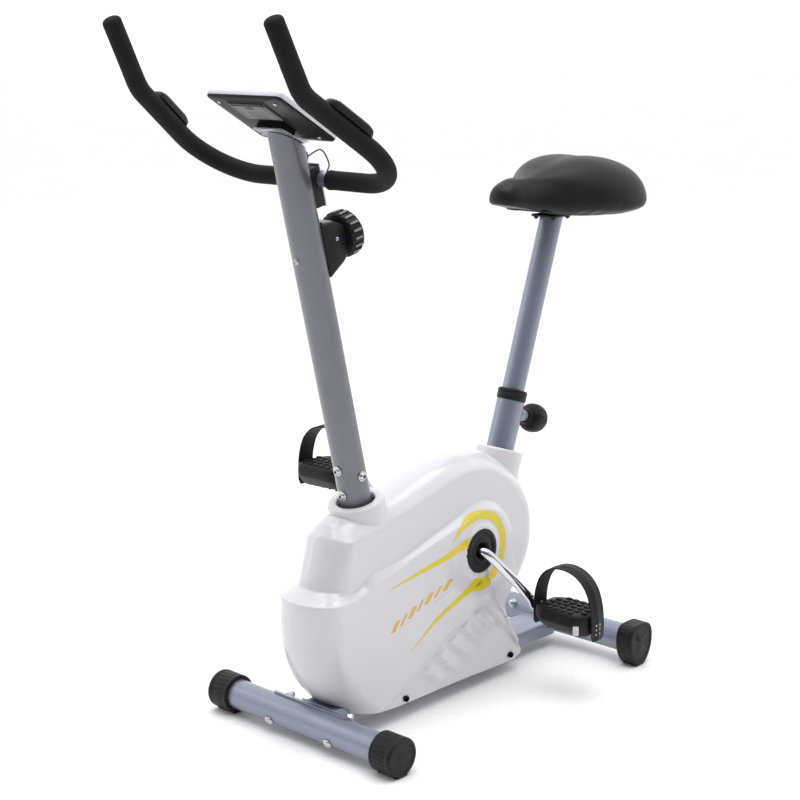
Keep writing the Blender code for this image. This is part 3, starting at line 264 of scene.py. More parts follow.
def axes_of(axis):
    """Two directions square to an axis, and the axis itself."""
    along = V(axis).normalized()
    side = Z.copy() if abs(along.x) > 0.9 else X.copy()
    side = (side - along * side.dot(along)).normalized()
    return side, along.cross(side), along


def turned(name, origin, axis, profile, look, body, nodes=(), slot=None, count=56, closed=False, flute=None,
           sharp=35.0):
    """A turned piece from (along, radius) pairs; flute(along, radius, angle) may change the radius."""
    side, up, along = axes_of(axis)
    rings = []
    for t, r in profile:
        ring = []
        for k in range(count):
            angle = 2 * math.pi * k / count
            reach = flute(t, r, angle) if flute else r
            ring.append(V(origin) + along * t + side * (reach * math.cos(angle)) + up * (reach * math.sin(angle)))
        rings.append(ring)
    return lofted(name, rings, look, body, nodes, slot, sharp, closed)


def eased(profile, radius=0.0008, steps=3):
    """Rounds the corners of an open (along, radius) profile."""
    made = [profile[0]]
    for k in range(1, len(profile) - 1):
        here, back, ahead = V(profile[k]), V(profile[k - 1]), V(profile[k + 1])
        reach = min(radius, (back - here).length * 0.45, (ahead - here).length * 0.45)
        a, b = here + (back - here).normalized() * reach, here + (ahead - here).normalized() * reach
        for step in range(steps + 1):
            t = step / steps
            spot = a * (1 - t) ** 2 + here * (2 * t * (1 - t)) + b * t ** 2
            made.append((spot.x, spot.y))
    return made + [profile[-1]]


def on_plane(point, along, plane_point, normal):
    """The point moved along a direction until it meets a plane."""
    return point + along * ((plane_point - point).dot(normal) / along.dot(normal))


def pipe(name, start, end, outer, inner, look, body, nodes=(), near=None, far=None, count=56, steps=10):
    """A hollow tube with slightly eased rims; its ends may be cut at a slant."""
    side, up, along = axes_of(V(end) - V(start))
    near, far = near or along, far or along
    edge = 0.0005
    rings = []

    def ring(point, normal, radius, push=0.0):
        rings.append([on_plane(V(point) + side * a + up * b, along, V(point), normal) + along * push
                      for a, b in circle(radius, count)])

    ring(start, near, outer - edge)
    for k in range(steps + 1):
        share = k / steps
        spot = V(start).lerp(V(end), share)
        ring(spot, near.lerp(far, share).normalized(), outer, edge if k == 0 else (-edge if k == steps else 0.0))
    ring(end, far, outer - edge)
    ring(end, far, inner)
    ring(start, near, inner)
    return lofted(name, rings, look, body, nodes, closed=True)


def curve_through(corners, steps, closed=False):
    """A Catmull-Rom curve through the corners."""
    corners = [V(c) for c in corners]
    total = len(corners)
    made = []
    for k in range(total if closed else total - 1):
        near = [corners[(k + s) % total] if closed else corners[min(max(k + s, 0), total - 1)] for s in (-1, 0, 1, 2)]
        a, b, c, d = near
        for step in range(steps):
            t = step / steps
            made.append(0.5 * ((2 * b) + (c - a) * t + (2 * a - 5 * b + 4 * c - d) * t ** 2
                               + (3 * b - a - 3 * c + d) * t ** 3))
    return made if closed else made + [corners[-1].copy()]


def sweep(path, section):
    """Rings along a path: section(k, share) gives (side, up) pairs; the frame never twists."""
    rings = []
    side = None
    for k, point in enumerate(path):
        along = ((path[min(k + 1, len(path) - 1)] - point).normalized()
                 + (point - path[max(k - 1, 0)]).normalized()).normalized()
        if side is None:
            side = axes_of(along)[0]
        side = (side - along * side.dot(along)).normalized()
        up = along.cross(side)
        rings.append([point + side * a + up * b for a, b in section(k, k / (len(path) - 1))])
    return rings


def soft_outline(corners, radius, steps=5):
    """A closed 2-D outline with rounded corners."""
    made = []
    total = len(corners)
    for k in range(total):
        here, back, ahead = V(corners[k]), V(corners[k - 1]), V(corners[(k + 1) % total])
        reach = min(radius, (back - here).length * 0.48, (ahead - here).length * 0.48)
        a, b = here + (back - here).normalized() * reach, here + (ahead - here).normalized() * reach
        for step in range(steps + 1):
            t = step / steps
            made.append(a * (1 - t) ** 2 + here * (2 * t * (1 - t)) + b * t ** 2)
    return made


def offset_outline(outline, inset):
    """A closed outline moved inward."""
    made = []
    total = len(outline)
    area = sum(outline[k].x * outline[(k + 1) % total].y - outline[(k + 1) % total].x * outline[k].y
               for k in range(total))
    sign = 1.0 if area > 0 else -1.0
    for k, point in enumerate(outline):
        along = (outline[(k + 1) % total] - outline[k - 1]).normalized()
        made.append(point + V((-along.y, along.x)) * (inset * sign))
    return made


def slab(name, outline, origin, axes, low, high, look, body, nodes=(), slot=None, edge=0.0008):
    """A plate of any outline with rounded rims; axes are (across, up, through)."""
    a, b, c = axes
    rounding = (0.0, 0.35, 0.75, 1.0)
    levels = [(low + edge * t, t) for t in rounding] + [(high - edge * t, t) for t in reversed(rounding)]
    rings = []
    for height, t in levels:
        inset = edge * (1 - math.sqrt(1 - (1 - t) ** 2))
        rings.append([V(origin) + a * p.x + b * p.y + c * height for p in offset_outline(outline, inset)])
    return lofted(name, rings, look, body, nodes, slot)


def box_outline(ha, hb, radius, steps=5):
    """A rectangle with rounded corners, from its half sizes."""
    return soft_outline([(ha, hb), (-ha, hb), (-ha, -hb), (ha, -hb)], radius, steps)


def post_point(z):
    """The middle of the handlebar post at a height."""
    return V((0.0, 0.207 - 0.2403 * z, z))


def seat_point(z):
    """The middle of the seat post at a height."""
    return V((0.0, 0.3478 + 0.3416 * z, z))


POST_UP = V((0.0, -0.2403, 1.0)).normalized()
POST_BACK = V((0.0, POST_UP.z, -POST_UP.y))
SEAT_UP = V((0.0, 0.3416, 1.0)).normalized()
SEAT_BACK = V((0.0, SEAT_UP.z, -SEAT_UP.y))
FRONT = V((0.0, 0.0, 0.0331))
REAR = V((0.0, 0.6358, 0.0437))
CRANK = V((0.0, 0.3445, 0.257))
TILT = math.radians(30.39)
DOWN = V((0.0, math.cos(TILT), -math.sin(TILT)))
FACE = V((0.0, math.sin(TILT), math.cos(TILT)))
CROWN = V((0.0, math.sin(math.radians(25.0)), math.cos(math.radians(25.0))))
ARM = V((0.0, math.cos(math.radians(-50.0)), math.sin(math.radians(-50.0))))
FORE_AFT = V((0.0, 1.0, 0.0))
CRANK_LENGTH = 0.143
POST_RADIUS = 0.0261
POST_CLEARANCE = 0.0264
SEAT_POST_RADIUS = 0.0203
BAR_RADIUS = 0.0115
PEDAL_HEX = (0.1262, 0.1302)
FOOT_TUBE_RADIUS = 0.025
SEAT_TUBE_TOP = 0.4816
SEAT_POST_TOP = 0.803


# ---------------------------------------------------------------- floor frame
def hexagon(radius, angle):
    """How far a hexagon's side lies from its middle, for the radius of the circle inside it."""
    return radius / math.cos(angle % (math.pi / 3) - math.pi / 6)


def hex_bolt(name, origin, axis, nodes, head, stem_from, size=0.0064, dome=True):
    """A washer and a hexagon dome nut on the visible side, standing on the surface at head."""
    turned(name, origin, axis, eased([(stem_from, 0.0038), (head, 0.0038), (head, 0.0088), (head + 0.0014, 0.0088),
                                      (head + 0.0014, 0.0050)], 0.0003), ZINC, "frame", nodes, count=36)

    def flat(t, r, angle):
        share = min(1.0, max(0.0, (t - head - 0.0050) / 0.0012))
        six = hexagon(size, angle + math.pi / 6)
        return (six * (1 - share) + min(size, six) * share) * r

    profile = [(head + 0.0012, 1.0), (head + 0.0050, 1.0), (head + 0.0058, 0.96), (head + 0.0068, 0.86)]
    if dome:
        profile += [(head + 0.0069, 0.80), (head + 0.0086, 0.78), (head + 0.0102, 0.64), (head + 0.0112, 0.40),
                    (head + 0.0116, 0.12)]
    turned(name + "_nut", origin, axis, profile, ZINC, "frame", count=48, flute=flat, sharp=28.0)


def stabilizer(label, axis, rear):
    """The foot tube, its curved plate, skinned row by row to follow the tube, and its two bolts."""
    pipe(label + "_tube", axis - X * 0.2034, axis + X * 0.2034, FOOT_TUBE_RADIUS, 0.0232, LIGHT_GREY, "frame",
         (label + "_stabilizer",))
    middle = math.radians(150.0 if rear else 30.0)
    spread = math.radians(56.0)
    length, rounding, mean_radius = 0.0875, 0.012, 0.0268
    rows, columns = 40, 30
    points, faces = [], []
    for radius in (0.0253, 0.0283):
        for i in range(rows + 1):
            a = (2.0 * i / rows - 1.0) * length
            corner = max(0.0, abs(a) - (length - rounding)) / rounding
            half = spread * mean_radius - rounding * (1.0 - math.sqrt(max(0.0, 1.0 - corner ** 2)))
            for j in range(columns + 1):
                angle = middle + (2.0 * j / columns - 1.0) * half / mean_radius
                points.append(axis + X * a + V((0.0, radius * math.cos(angle), radius * math.sin(angle))))
    base = (rows + 1) * (columns + 1)
    for i in range(rows):
        for j in range(columns):
            a = i * (columns + 1) + j
            quad = (a, a + 1, a + columns + 2, a + columns + 1)
            faces += [quad, tuple(base + q for q in reversed(quad))]
    border = (list(range(columns)) + [i * (columns + 1) + columns for i in range(rows)]
              + [rows * (columns + 1) + j for j in range(columns, 0, -1)]
              + [i * (columns + 1) for i in range(rows, 0, -1)])
    for k, a in enumerate(border):
        b = border[(k + 1) % len(border)]
        faces.append((b, a, base + a, base + b))
    piece(label + "_curved_plate", points, faces, LIGHT_GREY, "frame", (label + "_saddle_plate",))
    out = V((0.0, math.cos(middle), math.sin(middle)))
    for side, sign in SIDES:
        at = axis + X * (sign * 0.068)
        hex_bolt(f"{label}_{side}_bolt", at, out, (f"{label}_bolt_{side}",), 0.0287, -0.0255)
        turned(f"{label}_{side}_bolt_head", at, -out, eased([(0.0252, 0.0092), (0.0262, 0.0092), (0.0282, 0.0078),
               (0.0296, 0.0050), (0.0300, 0.0014)], 0.0008), ZINC, "frame", count=36)


def cap(label, side, sign, axis, rear, body):
    """A ribbed end cap: round in front, a levelling cam at the rear, flat where it stands on the floor."""
    drop = axis.z
    if rear:
        corners = [(0.033, -0.008), (0.033, 0.017), (0.023, 0.0315), (0.0, 0.034), (-0.023, 0.0315),
                   (-0.033, 0.017), (-0.033, -0.008), (-0.025, -0.028), (-0.010, -drop), (0.010, -drop),
                   (0.025, -0.028)]
        line = [(p.x, max(p.y, -drop)) for p in curve_through([(y, z, 0.0) for y, z in corners], 13, True)]
    else:
        line = [(y, -drop if z < -0.0296 else z) for y, z in circle(0.032, 144)]
    mouth = 0.178 if rear else 0.166
    bore = 0.0255
    hole = [(bore * math.cos(math.atan2(z, y)), bore * math.sin(math.atan2(z, y))) for y, z in line]
    levels = [(0.2042, hole, 1.0, 0.0), (mouth + 0.001, hole, 1.0, 0.0), (mouth, hole, 1.02, 0.0),
              (mouth, line, 0.955, 0.0), (mouth + 0.0006, line, 0.985, 0.0), (mouth + 0.002, line, 1.0, 0.0),
              (mouth + 0.005, line, 1.0, 0.0), (mouth + 0.006, line, 0.985, 0.0), (mouth + 0.007, line, 0.985, 1.0)]
    levels += [(0.199, line, 0.985, 1.0), (0.2, line, 0.985, 0.0), (0.201, line, 1.0, 0.0),
               (0.2075, line, 1.0, 0.0), (0.2095, line, 0.985, 0.0), (0.2106, line, 0.955, 0.0),
               (0.2110, line, 0.90, 0.0), (0.2110, line, 0.80, 0.0), (0.2100, line, 0.78, 0.0),
               (0.2100, line, 0.30, 0.0), (0.2106, line, 0.28, 0.0), (0.2106, line, 0.05, 0.0)]
    rings = []
    for x, ring, scale, ribs in levels:
        made = []
        for k, (y, z) in enumerate(ring):
            rib = 1.0 + ribs * 0.012 * (1.0 if k % 6 < 3 else -0.4)
            made.append(axis + V((sign * x, y * scale * rib, max(z * scale * rib, -drop))))
        rings.append(made)
    lofted(f"{label}_{side}_foot_cap", rings, BLACK, body, (f"{label}_cap_{side}",), sharp=40.0)


for label, axis, rear in (("front", FRONT, False), ("rear", REAR, True)):
    stabilizer(label, axis, rear)
    for side, sign in SIDES:
        cap(label, side, sign, axis, rear, f"rear_foot_{side}" if rear else "frame")

low_y, high_y = 0.0285, 0.6072
outline = box_outline(0.0336, 0.0145, 0.004, 4)
rings = []
for y, inset in ((low_y - 0.006, 0.0), (high_y, 0.0), (high_y, 0.002), (low_y - 0.006, 0.002)):
    rings.append([V((p.x, y, 0.0379 + p.y)) for p in offset_outline(outline, inset)])
lofted("base_box_tube", rings, LIGHT_GREY, "frame", ("base_tube",), closed=True)
for label, axis, front_side in (("front", FRONT, 1.0), ("rear", REAR, -1.0)):
    angle = math.acos(max(-1.0, min(1.0, (0.0524 - axis.z) / 0.0300)))
    y, z = front_side * (0.0300 * math.sin(angle) + 0.0004), 0.0300 * math.cos(angle) + 0.0006
    bead = [axis + V(((2 * (k / 60) - 1) * 0.0350, y, z)) for k in range(61)]
    rings = sweep(bead, lambda k, s: circle(0.0022 + 0.00035 * math.sin(k * 2.1), 12))
    lofted(label + "_weld_bead", rings, LIGHT_GREY, "frame", sharp=60.0)


# ---------------------------------------------------------------- posts
crown = post_point(0.968)
pipe("post_tube", post_point(0.378), crown, POST_RADIUS, 0.0241, POST_GREY, "frame", ("handlebar_post",), far=CROWN)
pipe("seat_lower_tube", seat_point(0.0527), seat_point(SEAT_TUBE_TOP), 0.025, 0.0226, LIGHT_GREY, "frame",
     ("seat_tube",), near=Z)
knob_at = seat_point(0.462)
turned("seat_lock_nut", knob_at, SEAT_BACK, eased([(0.0240, 0.0046), (0.0240, 0.0118), (0.0465, 0.0105),
       (0.0480, 0.0095), (0.0480, 0.0046)], 0.0008), LIGHT_GREY, "frame", closed=True)
turned("seat_lock_weld", knob_at, SEAT_BACK, [(0.0225, 0.0100), (0.0235, 0.0136), (0.0250, 0.0142), (0.0268, 0.0125),
       (0.0272, 0.0105)], LIGHT_GREY, "frame", flute=lambda t, r, a: r + 0.0003 * math.sin(a * 9))
bush = [(-0.0140, 0.0211), (-0.0140, 0.0222), (0.0003, 0.0222), (0.0003, 0.0256), (0.0030, 0.0264), (0.0100, 0.0264),
        (0.0106, 0.0260), (0.0112, 0.0264), (0.0170, 0.0264), (0.0195, 0.0250), (0.0198, 0.0214), (0.0190, 0.0211)]
turned("seat_sleeve", seat_point(SEAT_TUBE_TOP), SEAT_UP, bush, BLACK, "frame", ("seat_bushing",), closed=True,
       count=72)


def socket_bolt(name, at, axis, start, radius, node):
    """A button-head bolt with a hexagon socket, on its washer."""
    washer = radius * 1.30
    turned(name + "_washer", at, axis, eased([(start - 0.0010, radius * 0.5), (start - 0.0006, washer),
           (start + 0.0012, washer), (start + 0.0013, radius * 0.5)], 0.0004), ZINC, "frame", (node,), count=32)
    profile = [(start + 0.0012, radius * 0.5), (start + 0.0012, radius), (start + 0.0026, radius * 0.97),
               (start + 0.0040, radius * 0.86), (start + 0.0050, radius * 0.68), (start + 0.0053, radius * 0.50)]
    turned(name + "_head", at, axis, profile, ZINC, "frame", count=36)
    turned(name + "_socket", at, axis, [(start + 0.0052, radius * 0.42), (start + 0.0054, radius * 0.40),
           (start + 0.0054, radius * 0.05)], BLACK, "frame", count=36, flute=lambda t, r, a: hexagon(r, a))


for node, z, way in (("post_bolt_lower", 0.401, -POST_BACK), ("post_bolt_upper", 0.444, -POST_BACK),
                     ("post_bolt_side", 0.428, X)):
    socket_bolt(node + "_fitted", post_point(z), way, 0.0265, 0.0066, node)
socket_bolt("post_screw_fitted", post_point(0.79), -POST_BACK, 0.0263, 0.0036, "post_screw")


# ---------------------------------------------------------------- housing
# matching corners of the middle outline and of the side crease, (y, z) in millimetres, and how sharp the crease is
OUTLINE = (
    ((74, 30), (118, 30), 0), ((44, 46), (92, 45), 0), ((19, 68), (66, 68), 0), ((-3, 95), (44, 96), 0),
    ((-18, 127), (27, 128), 0), ((-27, 163), (17, 164), 0), ((-29, 200), (13, 200), 0), ((-28, 228), (14, 228), 0),
    ((-26, 239), (16, 239), 0), ((-22, 242), (20, 242), 0), ((0, 252), (38, 251), 0), ((6, 256), (44, 256), 0),
    ((9, 268), (46, 268), .2), ((20, 302), (52, 302), .5), ((28, 328), (58, 326), .8),
    ((34, 341), (70, 333), 1), ((54, 357), (97, 338), 1),
    ((100, 370), (134, 341), 1), ((165, 379), (176, 354), 1), ((230, 396), (241, 370), 1),
    ((290, 413), (301, 387), 1), ((344, 421), (352, 393), 1), ((400, 414), (400, 384), 1),
    ((450, 391), (437, 361), .9), ((492, 358), (462, 336), .6), ((520, 315), (480, 300), .3),
    ((530, 262), (485, 265), .1), ((522, 215), (479, 225), 0), ((498, 176), (456, 187), 0), ((462, 146), (425, 146), 0),
    ((456, 120), (422, 121), 0), ((474, 74), (452, 70), 0), ((483, 44), (474, 40), 0), ((482, 32), (474, 31), 0),
    ((470, 26), (462, 27), 0), ((460, 24), (450, 24), 0), ((380, 25), (380, 25), 0), ((290, 27), (286, 27), 0),
    ((170, 28), (180, 27), 0))
# lower and upper line of the ledge between body and hood, from the nose to the tail, (y, z) in millimetres
LEDGE_LOW = ((-60, 238), (-25, 238), (0, 238), (24, 239), (58, 240), (80, 244), (104, 253), (152, 267), (205, 282),
             (250, 296), (300, 312), (327, 320), (350, 325), (369, 325), (388, 319), (402, 309), (414, 294), (421, 276))
LEDGE_HIGH = ((-60, 254), (-25, 254), (0, 254), (36, 251), (66, 252), (94, 257), (130, 267), (165, 278),
              (214, 292), (264, 307), (310, 326), (341, 338), (362, 343), (383, 342), (403, 334), (420, 320),
              (435, 303), (446, 280))
EDGE_LOW = [np.array(p) * 0.001 for p in LEDGE_LOW]
EDGE_HIGH = [np.array(p) * 0.001 for p in LEDGE_HIGH]
PANEL_AT = np.array((0.1425, 0.0490))
PANEL_ALONG = np.array((0.878, 0.478))
PANEL_OUT = np.array((0.478, -0.878))
SCREWS = ((0.169, 0.0365), (0.4445, 0.0360))


def smoothstep(low, high, value):
    """Eases from 0 to 1 between low and high."""
    t = np.clip((value - low) / (high - low), 0.0, 1.0)
    return t * t * (3 - 2 * t)


def ledge_share(spots):
    """How far each (y, z) spot is across the ledge: 0 on the lower body, 1 on the hood; and how deep it is there."""
    fine_low = np.array([tuple(p)[:2] for p in curve_through([(*p, 0.0) for p in EDGE_LOW], 8)])
    fine_high = np.array([tuple(p)[:2] for p in curve_through([(*p, 0.0) for p in EDGE_HIGH], 8)])
    a, b = fine_low[:-1], fine_low[1:]
    along = b - a
    share = np.clip(((spots[:, None, :] - a) * along).sum(2) / (along ** 2).sum(1), 0.0, 1.0)
    foot = a + along * share[..., None]
    away = spots[:, None, :] - foot
    distance = np.sqrt((away ** 2).sum(2))
    best = distance.argmin(1)
    rows = np.arange(len(spots))
    side = along[best][:, 0] * away[rows, best][:, 1] - along[best][:, 1] * away[rows, best][:, 0]
    signed = np.where(side > 0.0, distance[rows, best], -distance[rows, best])
    place = (best + share[rows, best]) / len(a)
    width = np.sqrt(((fine_high - fine_low) ** 2).sum(1))
    here = np.interp(place * len(a), np.arange(len(width)), width)
    depth = np.interp(place, (0.0, 0.35, 0.62, 0.80, 0.93, 1.0), (0.0132, 0.0132, 0.0108, 0.0086, 0.0046, 0.0))
    return signed, here, depth


def side_surface(spots):
    """The x of the left cover's side face over (y, z) spots."""
    signed, width, depth = ledge_share(spots)
    across = np.clip(signed / (width * 0.62), -0.2, 1.4)
    drop = np.interp(across, (0.0, 0.10, 0.90, 1.0), (0.0, 0.06, 0.96, 1.0))
    reach = np.sqrt((spots[:, 0] - CRANK.y) ** 2 + (spots[:, 1] - CRANK.z) ** 2)
    x = 0.0645 + 0.0080 * (1 - smoothstep(0.066, 0.150, reach)) * (1 - 0.4 * np.clip(across, 0, 1)) - depth * drop
    # shallow panel with louvres behind the slanted crease
    offset = spots - PANEL_AT
    along, out = offset @ PANEL_ALONG, offset @ PANEL_OUT
    right = (spots[:, 0] - 0.3668) * 0.739 + (spots[:, 1] - 0.1637) * 0.674
    panel = smoothstep(0.0, 0.0030, out) * (1 - smoothstep(-0.0030, 0.0, right))
    x = x - 0.0042 * panel
    ridge = along - 0.38 * out
    inside = (smoothstep(0.0125, 0.0165, out) * (1 - smoothstep(0.055, 0.098, out)) * smoothstep(0.056, 0.064, ridge)
              * (1 - smoothstep(0.236, 0.246, ridge)) * (1 - smoothstep(-0.016, -0.006, right))
              * smoothstep(0.036, 0.044, spots[:, 1]))
    wave = np.mod((ridge - 0.0650) / 0.0362, 1.0)
    x = x + inside * 0.0048 * np.interp(wave, (0.0, 0.08, 0.16, 0.70, 1.0), (0.0, 1.0, 1.0, 0.2, 0.0))
    # raised ring round the crank
    boss = 0.0768 - 0.0040 * smoothstep(0.0425, 0.0500, reach)
    x = np.where(reach < 0.056, x + (boss - x) * (1 - smoothstep(0.0470, 0.0530, reach)), x)
    for y, z in SCREWS:
        hole = np.sqrt((spots[:, 0] - y) ** 2 + (spots[:, 1] - z) ** 2)
        x = x - 0.0040 * (1 - smoothstep(0.0040, 0.0052, hole)) + 0.0006 * np.exp(-((hole - 0.0065) / 0.0012) ** 2)
    return x


def cut_away(p):
    """Whether a spot of the shell lies in an opening: crank, posts, base tube or bottom."""
    if math.hypot(p.y - CRANK.y, p.z - CRANK.z) < 0.0385 and abs(p.x) > 0.05:
        return True
    for point, along, radius in ((post_point(0.36), POST_UP, 0.0440), (seat_point(0.36), SEAT_UP, 0.0360)):
        off = p - point
        if (off - along * off.dot(along)).length < radius and off.dot(along) > -0.06:
            return True
    beyond_feet = p.y < 0.10 or p.y > 0.42
    return abs(p.x) < 0.034 and (p.z < 0.0325 or (p.z < 0.0525 and beyond_feet))


def cover(name, sign, rows_side=110):
    """One half of the housing: a bowed rim from the middle plane to the crease, then the side face inward."""
    corners_middle = curve_through([(y, z, 0.0) for (y, z), _, _ in OUTLINE], 11, True)
    corners_edge = curve_through([(y, z, 0.0) for _, (y, z), _ in OUTLINE], 11, True)
    sharp = [p.x for p in curve_through([(s, 0.0, 0.0) for _, _, s in OUTLINE], 11, True)]
    middle = np.array([(p.x, p.y) for p in corners_middle]) * 0.001
    edge = np.array([(p.x, p.y) for p in corners_edge]) * 0.001
    crease = np.clip(np.array(sharp), 0.0, 1.0)
    rim_x = side_surface(edge)
    spine = np.array([(p.x, p.y) for p in curve_through([(0.110, 0.150, 0), (0.170, 0.170, 0), (0.250, 0.195, 0),
                                                         (0.3445, 0.240, 0)], 12)])
    count = len(edge)
    target = spine[((edge[:, None, :] - spine) ** 2).sum(2).argmin(1)].astype(float)
    for _ in range(14):
        target = (np.roll(target, 1, 0) + np.roll(target, -1, 0) + target * 2) / 4
    rings = []
    full = 1.0 - math.sqrt(1.0 - 0.985 ** 2)
    for f in (0.0, 0.03, 0.07, 0.12, 0.24, 0.36, 0.47, 0.57, 0.66, 0.74, 0.81, 0.865, 0.91, 0.945, 0.97, 0.985,
              0.995, 1.0):
        bow = (1.0 - math.sqrt(1.0 - (0.985 * f) ** 2)) / full
        hood = 0.75 * f ** 2.4 + 0.25 * bow
        share = (bow * (1 - crease) + hood * crease)[:, None]
        round_off = (1.0 - 0.012 * max(0.0, (f - 0.94) / 0.06) ** 2)
        x = rim_x * f * (round_off if f < 1 else 0.988)
        ring = middle + (edge - middle) * share
        rings.append(np.column_stack((x, ring)))
    for k in range(1, rows_side + 1):
        s = k / rows_side
        spot = edge + (target - edge) * s
        x = side_surface(spot)
        gap = np.sqrt(((spot - edge) ** 2).sum(1))
        ease = np.exp(-gap / 0.0022) * 0.012
        rings.append(np.column_stack((x * (1 - ease), spot)))
    flat = np.concatenate(rings)
    flat[:, 0] *= sign
    faces = []
    for k in range(len(rings) - 1):
        a, b = k * count, (k + 1) * count
        faces += [(a + j, a + (j + 1) % count, b + (j + 1) % count, b + j) for j in range(count)]
    shell = raw_mesh(name, flat, faces)
    work = bmesh.new()
    work.from_mesh(shell)
    bmesh.ops.recalc_face_normals(work, faces=work.faces[:])
    centre = V((0.03 * sign, 0.25, 0.2)) + SHIFT
    outward = sum(f.normal.dot(f.calc_center_median() - centre) * f.calc_area() for f in work.faces)
    if outward < 0:
        bmesh.ops.reverse_faces(work, faces=work.faces[:])
    doomed = [f for f in work.faces if cut_away(f.calc_center_median() - SHIFT)]
    bmesh.ops.delete(work, geom=doomed, context="FACES")
    work.to_mesh(shell)
    work.free()
    shell.shade_smooth()
    shell.materials.append(WHITE)
    made = linked(name, shell)
    wall = made.modifiers.new("wall", "SOLIDIFY")
    wall.thickness = 0.0028
    wall.offset = -1.0
    settled(made, 42.0)
    return carried(made, "frame", ("housing_" + name.split("_")[1],))


left_cover = cover("cover_left", 1.0)
right_cover = cover("cover_right", -1.0)


def collar(name, at, along, radius, bore, height, node, flare):
    """The moulded neck round a tube, blending into the covers at its foot."""
    profile = [(-0.030, bore), (-0.0030, bore), (-0.0008, bore + 0.0010), (0.0, bore + 0.0030), (0.0, radius - 0.0042),
               (-0.0007, radius - 0.0022), (-0.0024, radius - 0.0006), (-0.0046, radius)]
    for k in range(9):
        t = k / 8
        profile.append((-0.0046 - (height - 0.0046) * (0.45 + 0.55 * t), radius + flare * t ** 2.4))
    profile.append((-height - 0.004, radius - 0.004))
    turned(name, at, along, profile, WHITE, "frame", (node,), count=96, closed=True, sharp=50.0)


collar("post_neck", post_point(0.383), POST_UP, 0.0476, 0.0318, 0.0500, "post_collar", 0.0030)
collar("seat_neck", seat_point(0.399), SEAT_UP, 0.0425, 0.0262, 0.0600, "seat_collar", 0.0030)
turned("post_neck_seal", post_point(0.383), POST_UP, [(-0.0160, 0.0263), (-0.0160, 0.0317), (-0.0110, 0.0317),
       (-0.0095, 0.0290), (-0.0100, 0.0263)], BLACK, "frame", closed=True)

for label, sign in SIDES:
    for k, (y, z) in enumerate(SCREWS):
        at = V((0.0, y, z))
        turned(f"screw_well_{label}_{k}", at, X * sign, [(0.0560, 0.0008), (0.0560, 0.0048), (0.0640, 0.0052),
               (0.0646, 0.0050), (0.0640, 0.0044), (0.0570, 0.0042), (0.0566, 0.0008)], SATIN, "frame", count=32,
               closed=True)
        turned(f"cover_screw_{label}_{k}", at, X * sign, [(0.0560, 0.0020), (0.0570, 0.0032), (0.0582, 0.0031),
               (0.0590, 0.0024), (0.0590, 0.0010)], ZINC, "frame", count=24)

# printed shapes lie on the covers: each is a fine strip dropped on to the side face
trees = {}
for label, made in (("left", left_cover), ("right", right_cover)):
    held = bmesh.new()
    held.from_mesh(made.data)
    trees[label] = BVHTree.FromBMesh(held)
    held.free()


def print_strip(name, label, first, second, look, lift=0.00022, steps=6):
    """A printed band between two matching (y, z) lines, laid on the cover."""
    sign = 1.0 if label == "left" else -1.0
    points, faces = [], []
    for a, b in zip(first, second):
        for k in range(steps + 1):
            y, z = (a[0] + (b[0] - a[0]) * k / steps, a[1] + (b[1] - a[1]) * k / steps)
            hit, normal, _, _ = trees[label].ray_cast(V((sign * 0.2, y, z)) + SHIFT, V((-sign, 0.0, 0.0)))
            spot = (hit - SHIFT) if hit else V((sign * 0.0645, y, z))
            points.append(spot + (normal if hit else X * sign) * lift)
    for i in range(len(first) - 1):
        for k in range(steps):
            a = i * (steps + 1) + k
            faces.append((a, a + 1, a + steps + 2, a + steps + 1))
    mesh = raw_mesh(name, points, faces)
    work = bmesh.new()
    work.from_mesh(mesh)
    if sum(f.normal.x for f in work.faces) * sign < 0:
        bmesh.ops.reverse_faces(work, faces=work.faces[:])
    work.to_mesh(mesh)
    work.free()
    mesh.shade_smooth()
    mesh.materials.append(look)
    carried(linked(name, mesh), "frame", ())


def arc_band(first_angle, last_angle, inner, outer, count=70):
    """Matching points of a ring band round the crank; inner and outer are functions of the share along it."""
    lines = ([], [])
    for k in range(count + 1):
        share = k / count
        angle = math.radians(first_angle + (last_angle - first_angle) * share)
        for line, radius in ((lines[0], inner(share)), (lines[1], outer(share))):
            line.append((CRANK.y + radius * math.cos(angle), CRANK.z + radius * math.sin(angle)))
    return lines


def stripe(start, end, half_start, half_end, count=60, bend=0.0):
    """Matching lines of a tapered, slightly bent stripe."""
    lines = ([], [])
    along = (V(end) - V(start)).normalized()
    normal = V((-along.y, along.x))
    for k in range(count + 1):
        share = k / count
        spot = V(start).lerp(V(end), share) + normal * (bend * math.sin(math.pi * share))
        half = half_start + (half_end - half_start) * share
        for line, sign in ((lines[0], -1.0), (lines[1], 1.0)):
            line.append(tuple(spot + normal * (half * sign)))
    return lines


def ring_radius(radii):
    """The radius of one rim of the printed ring, by the share of the way along it."""
    return lambda share: float(np.interp(share, (0, .05, .14, .30, .75, .88, 1), radii))


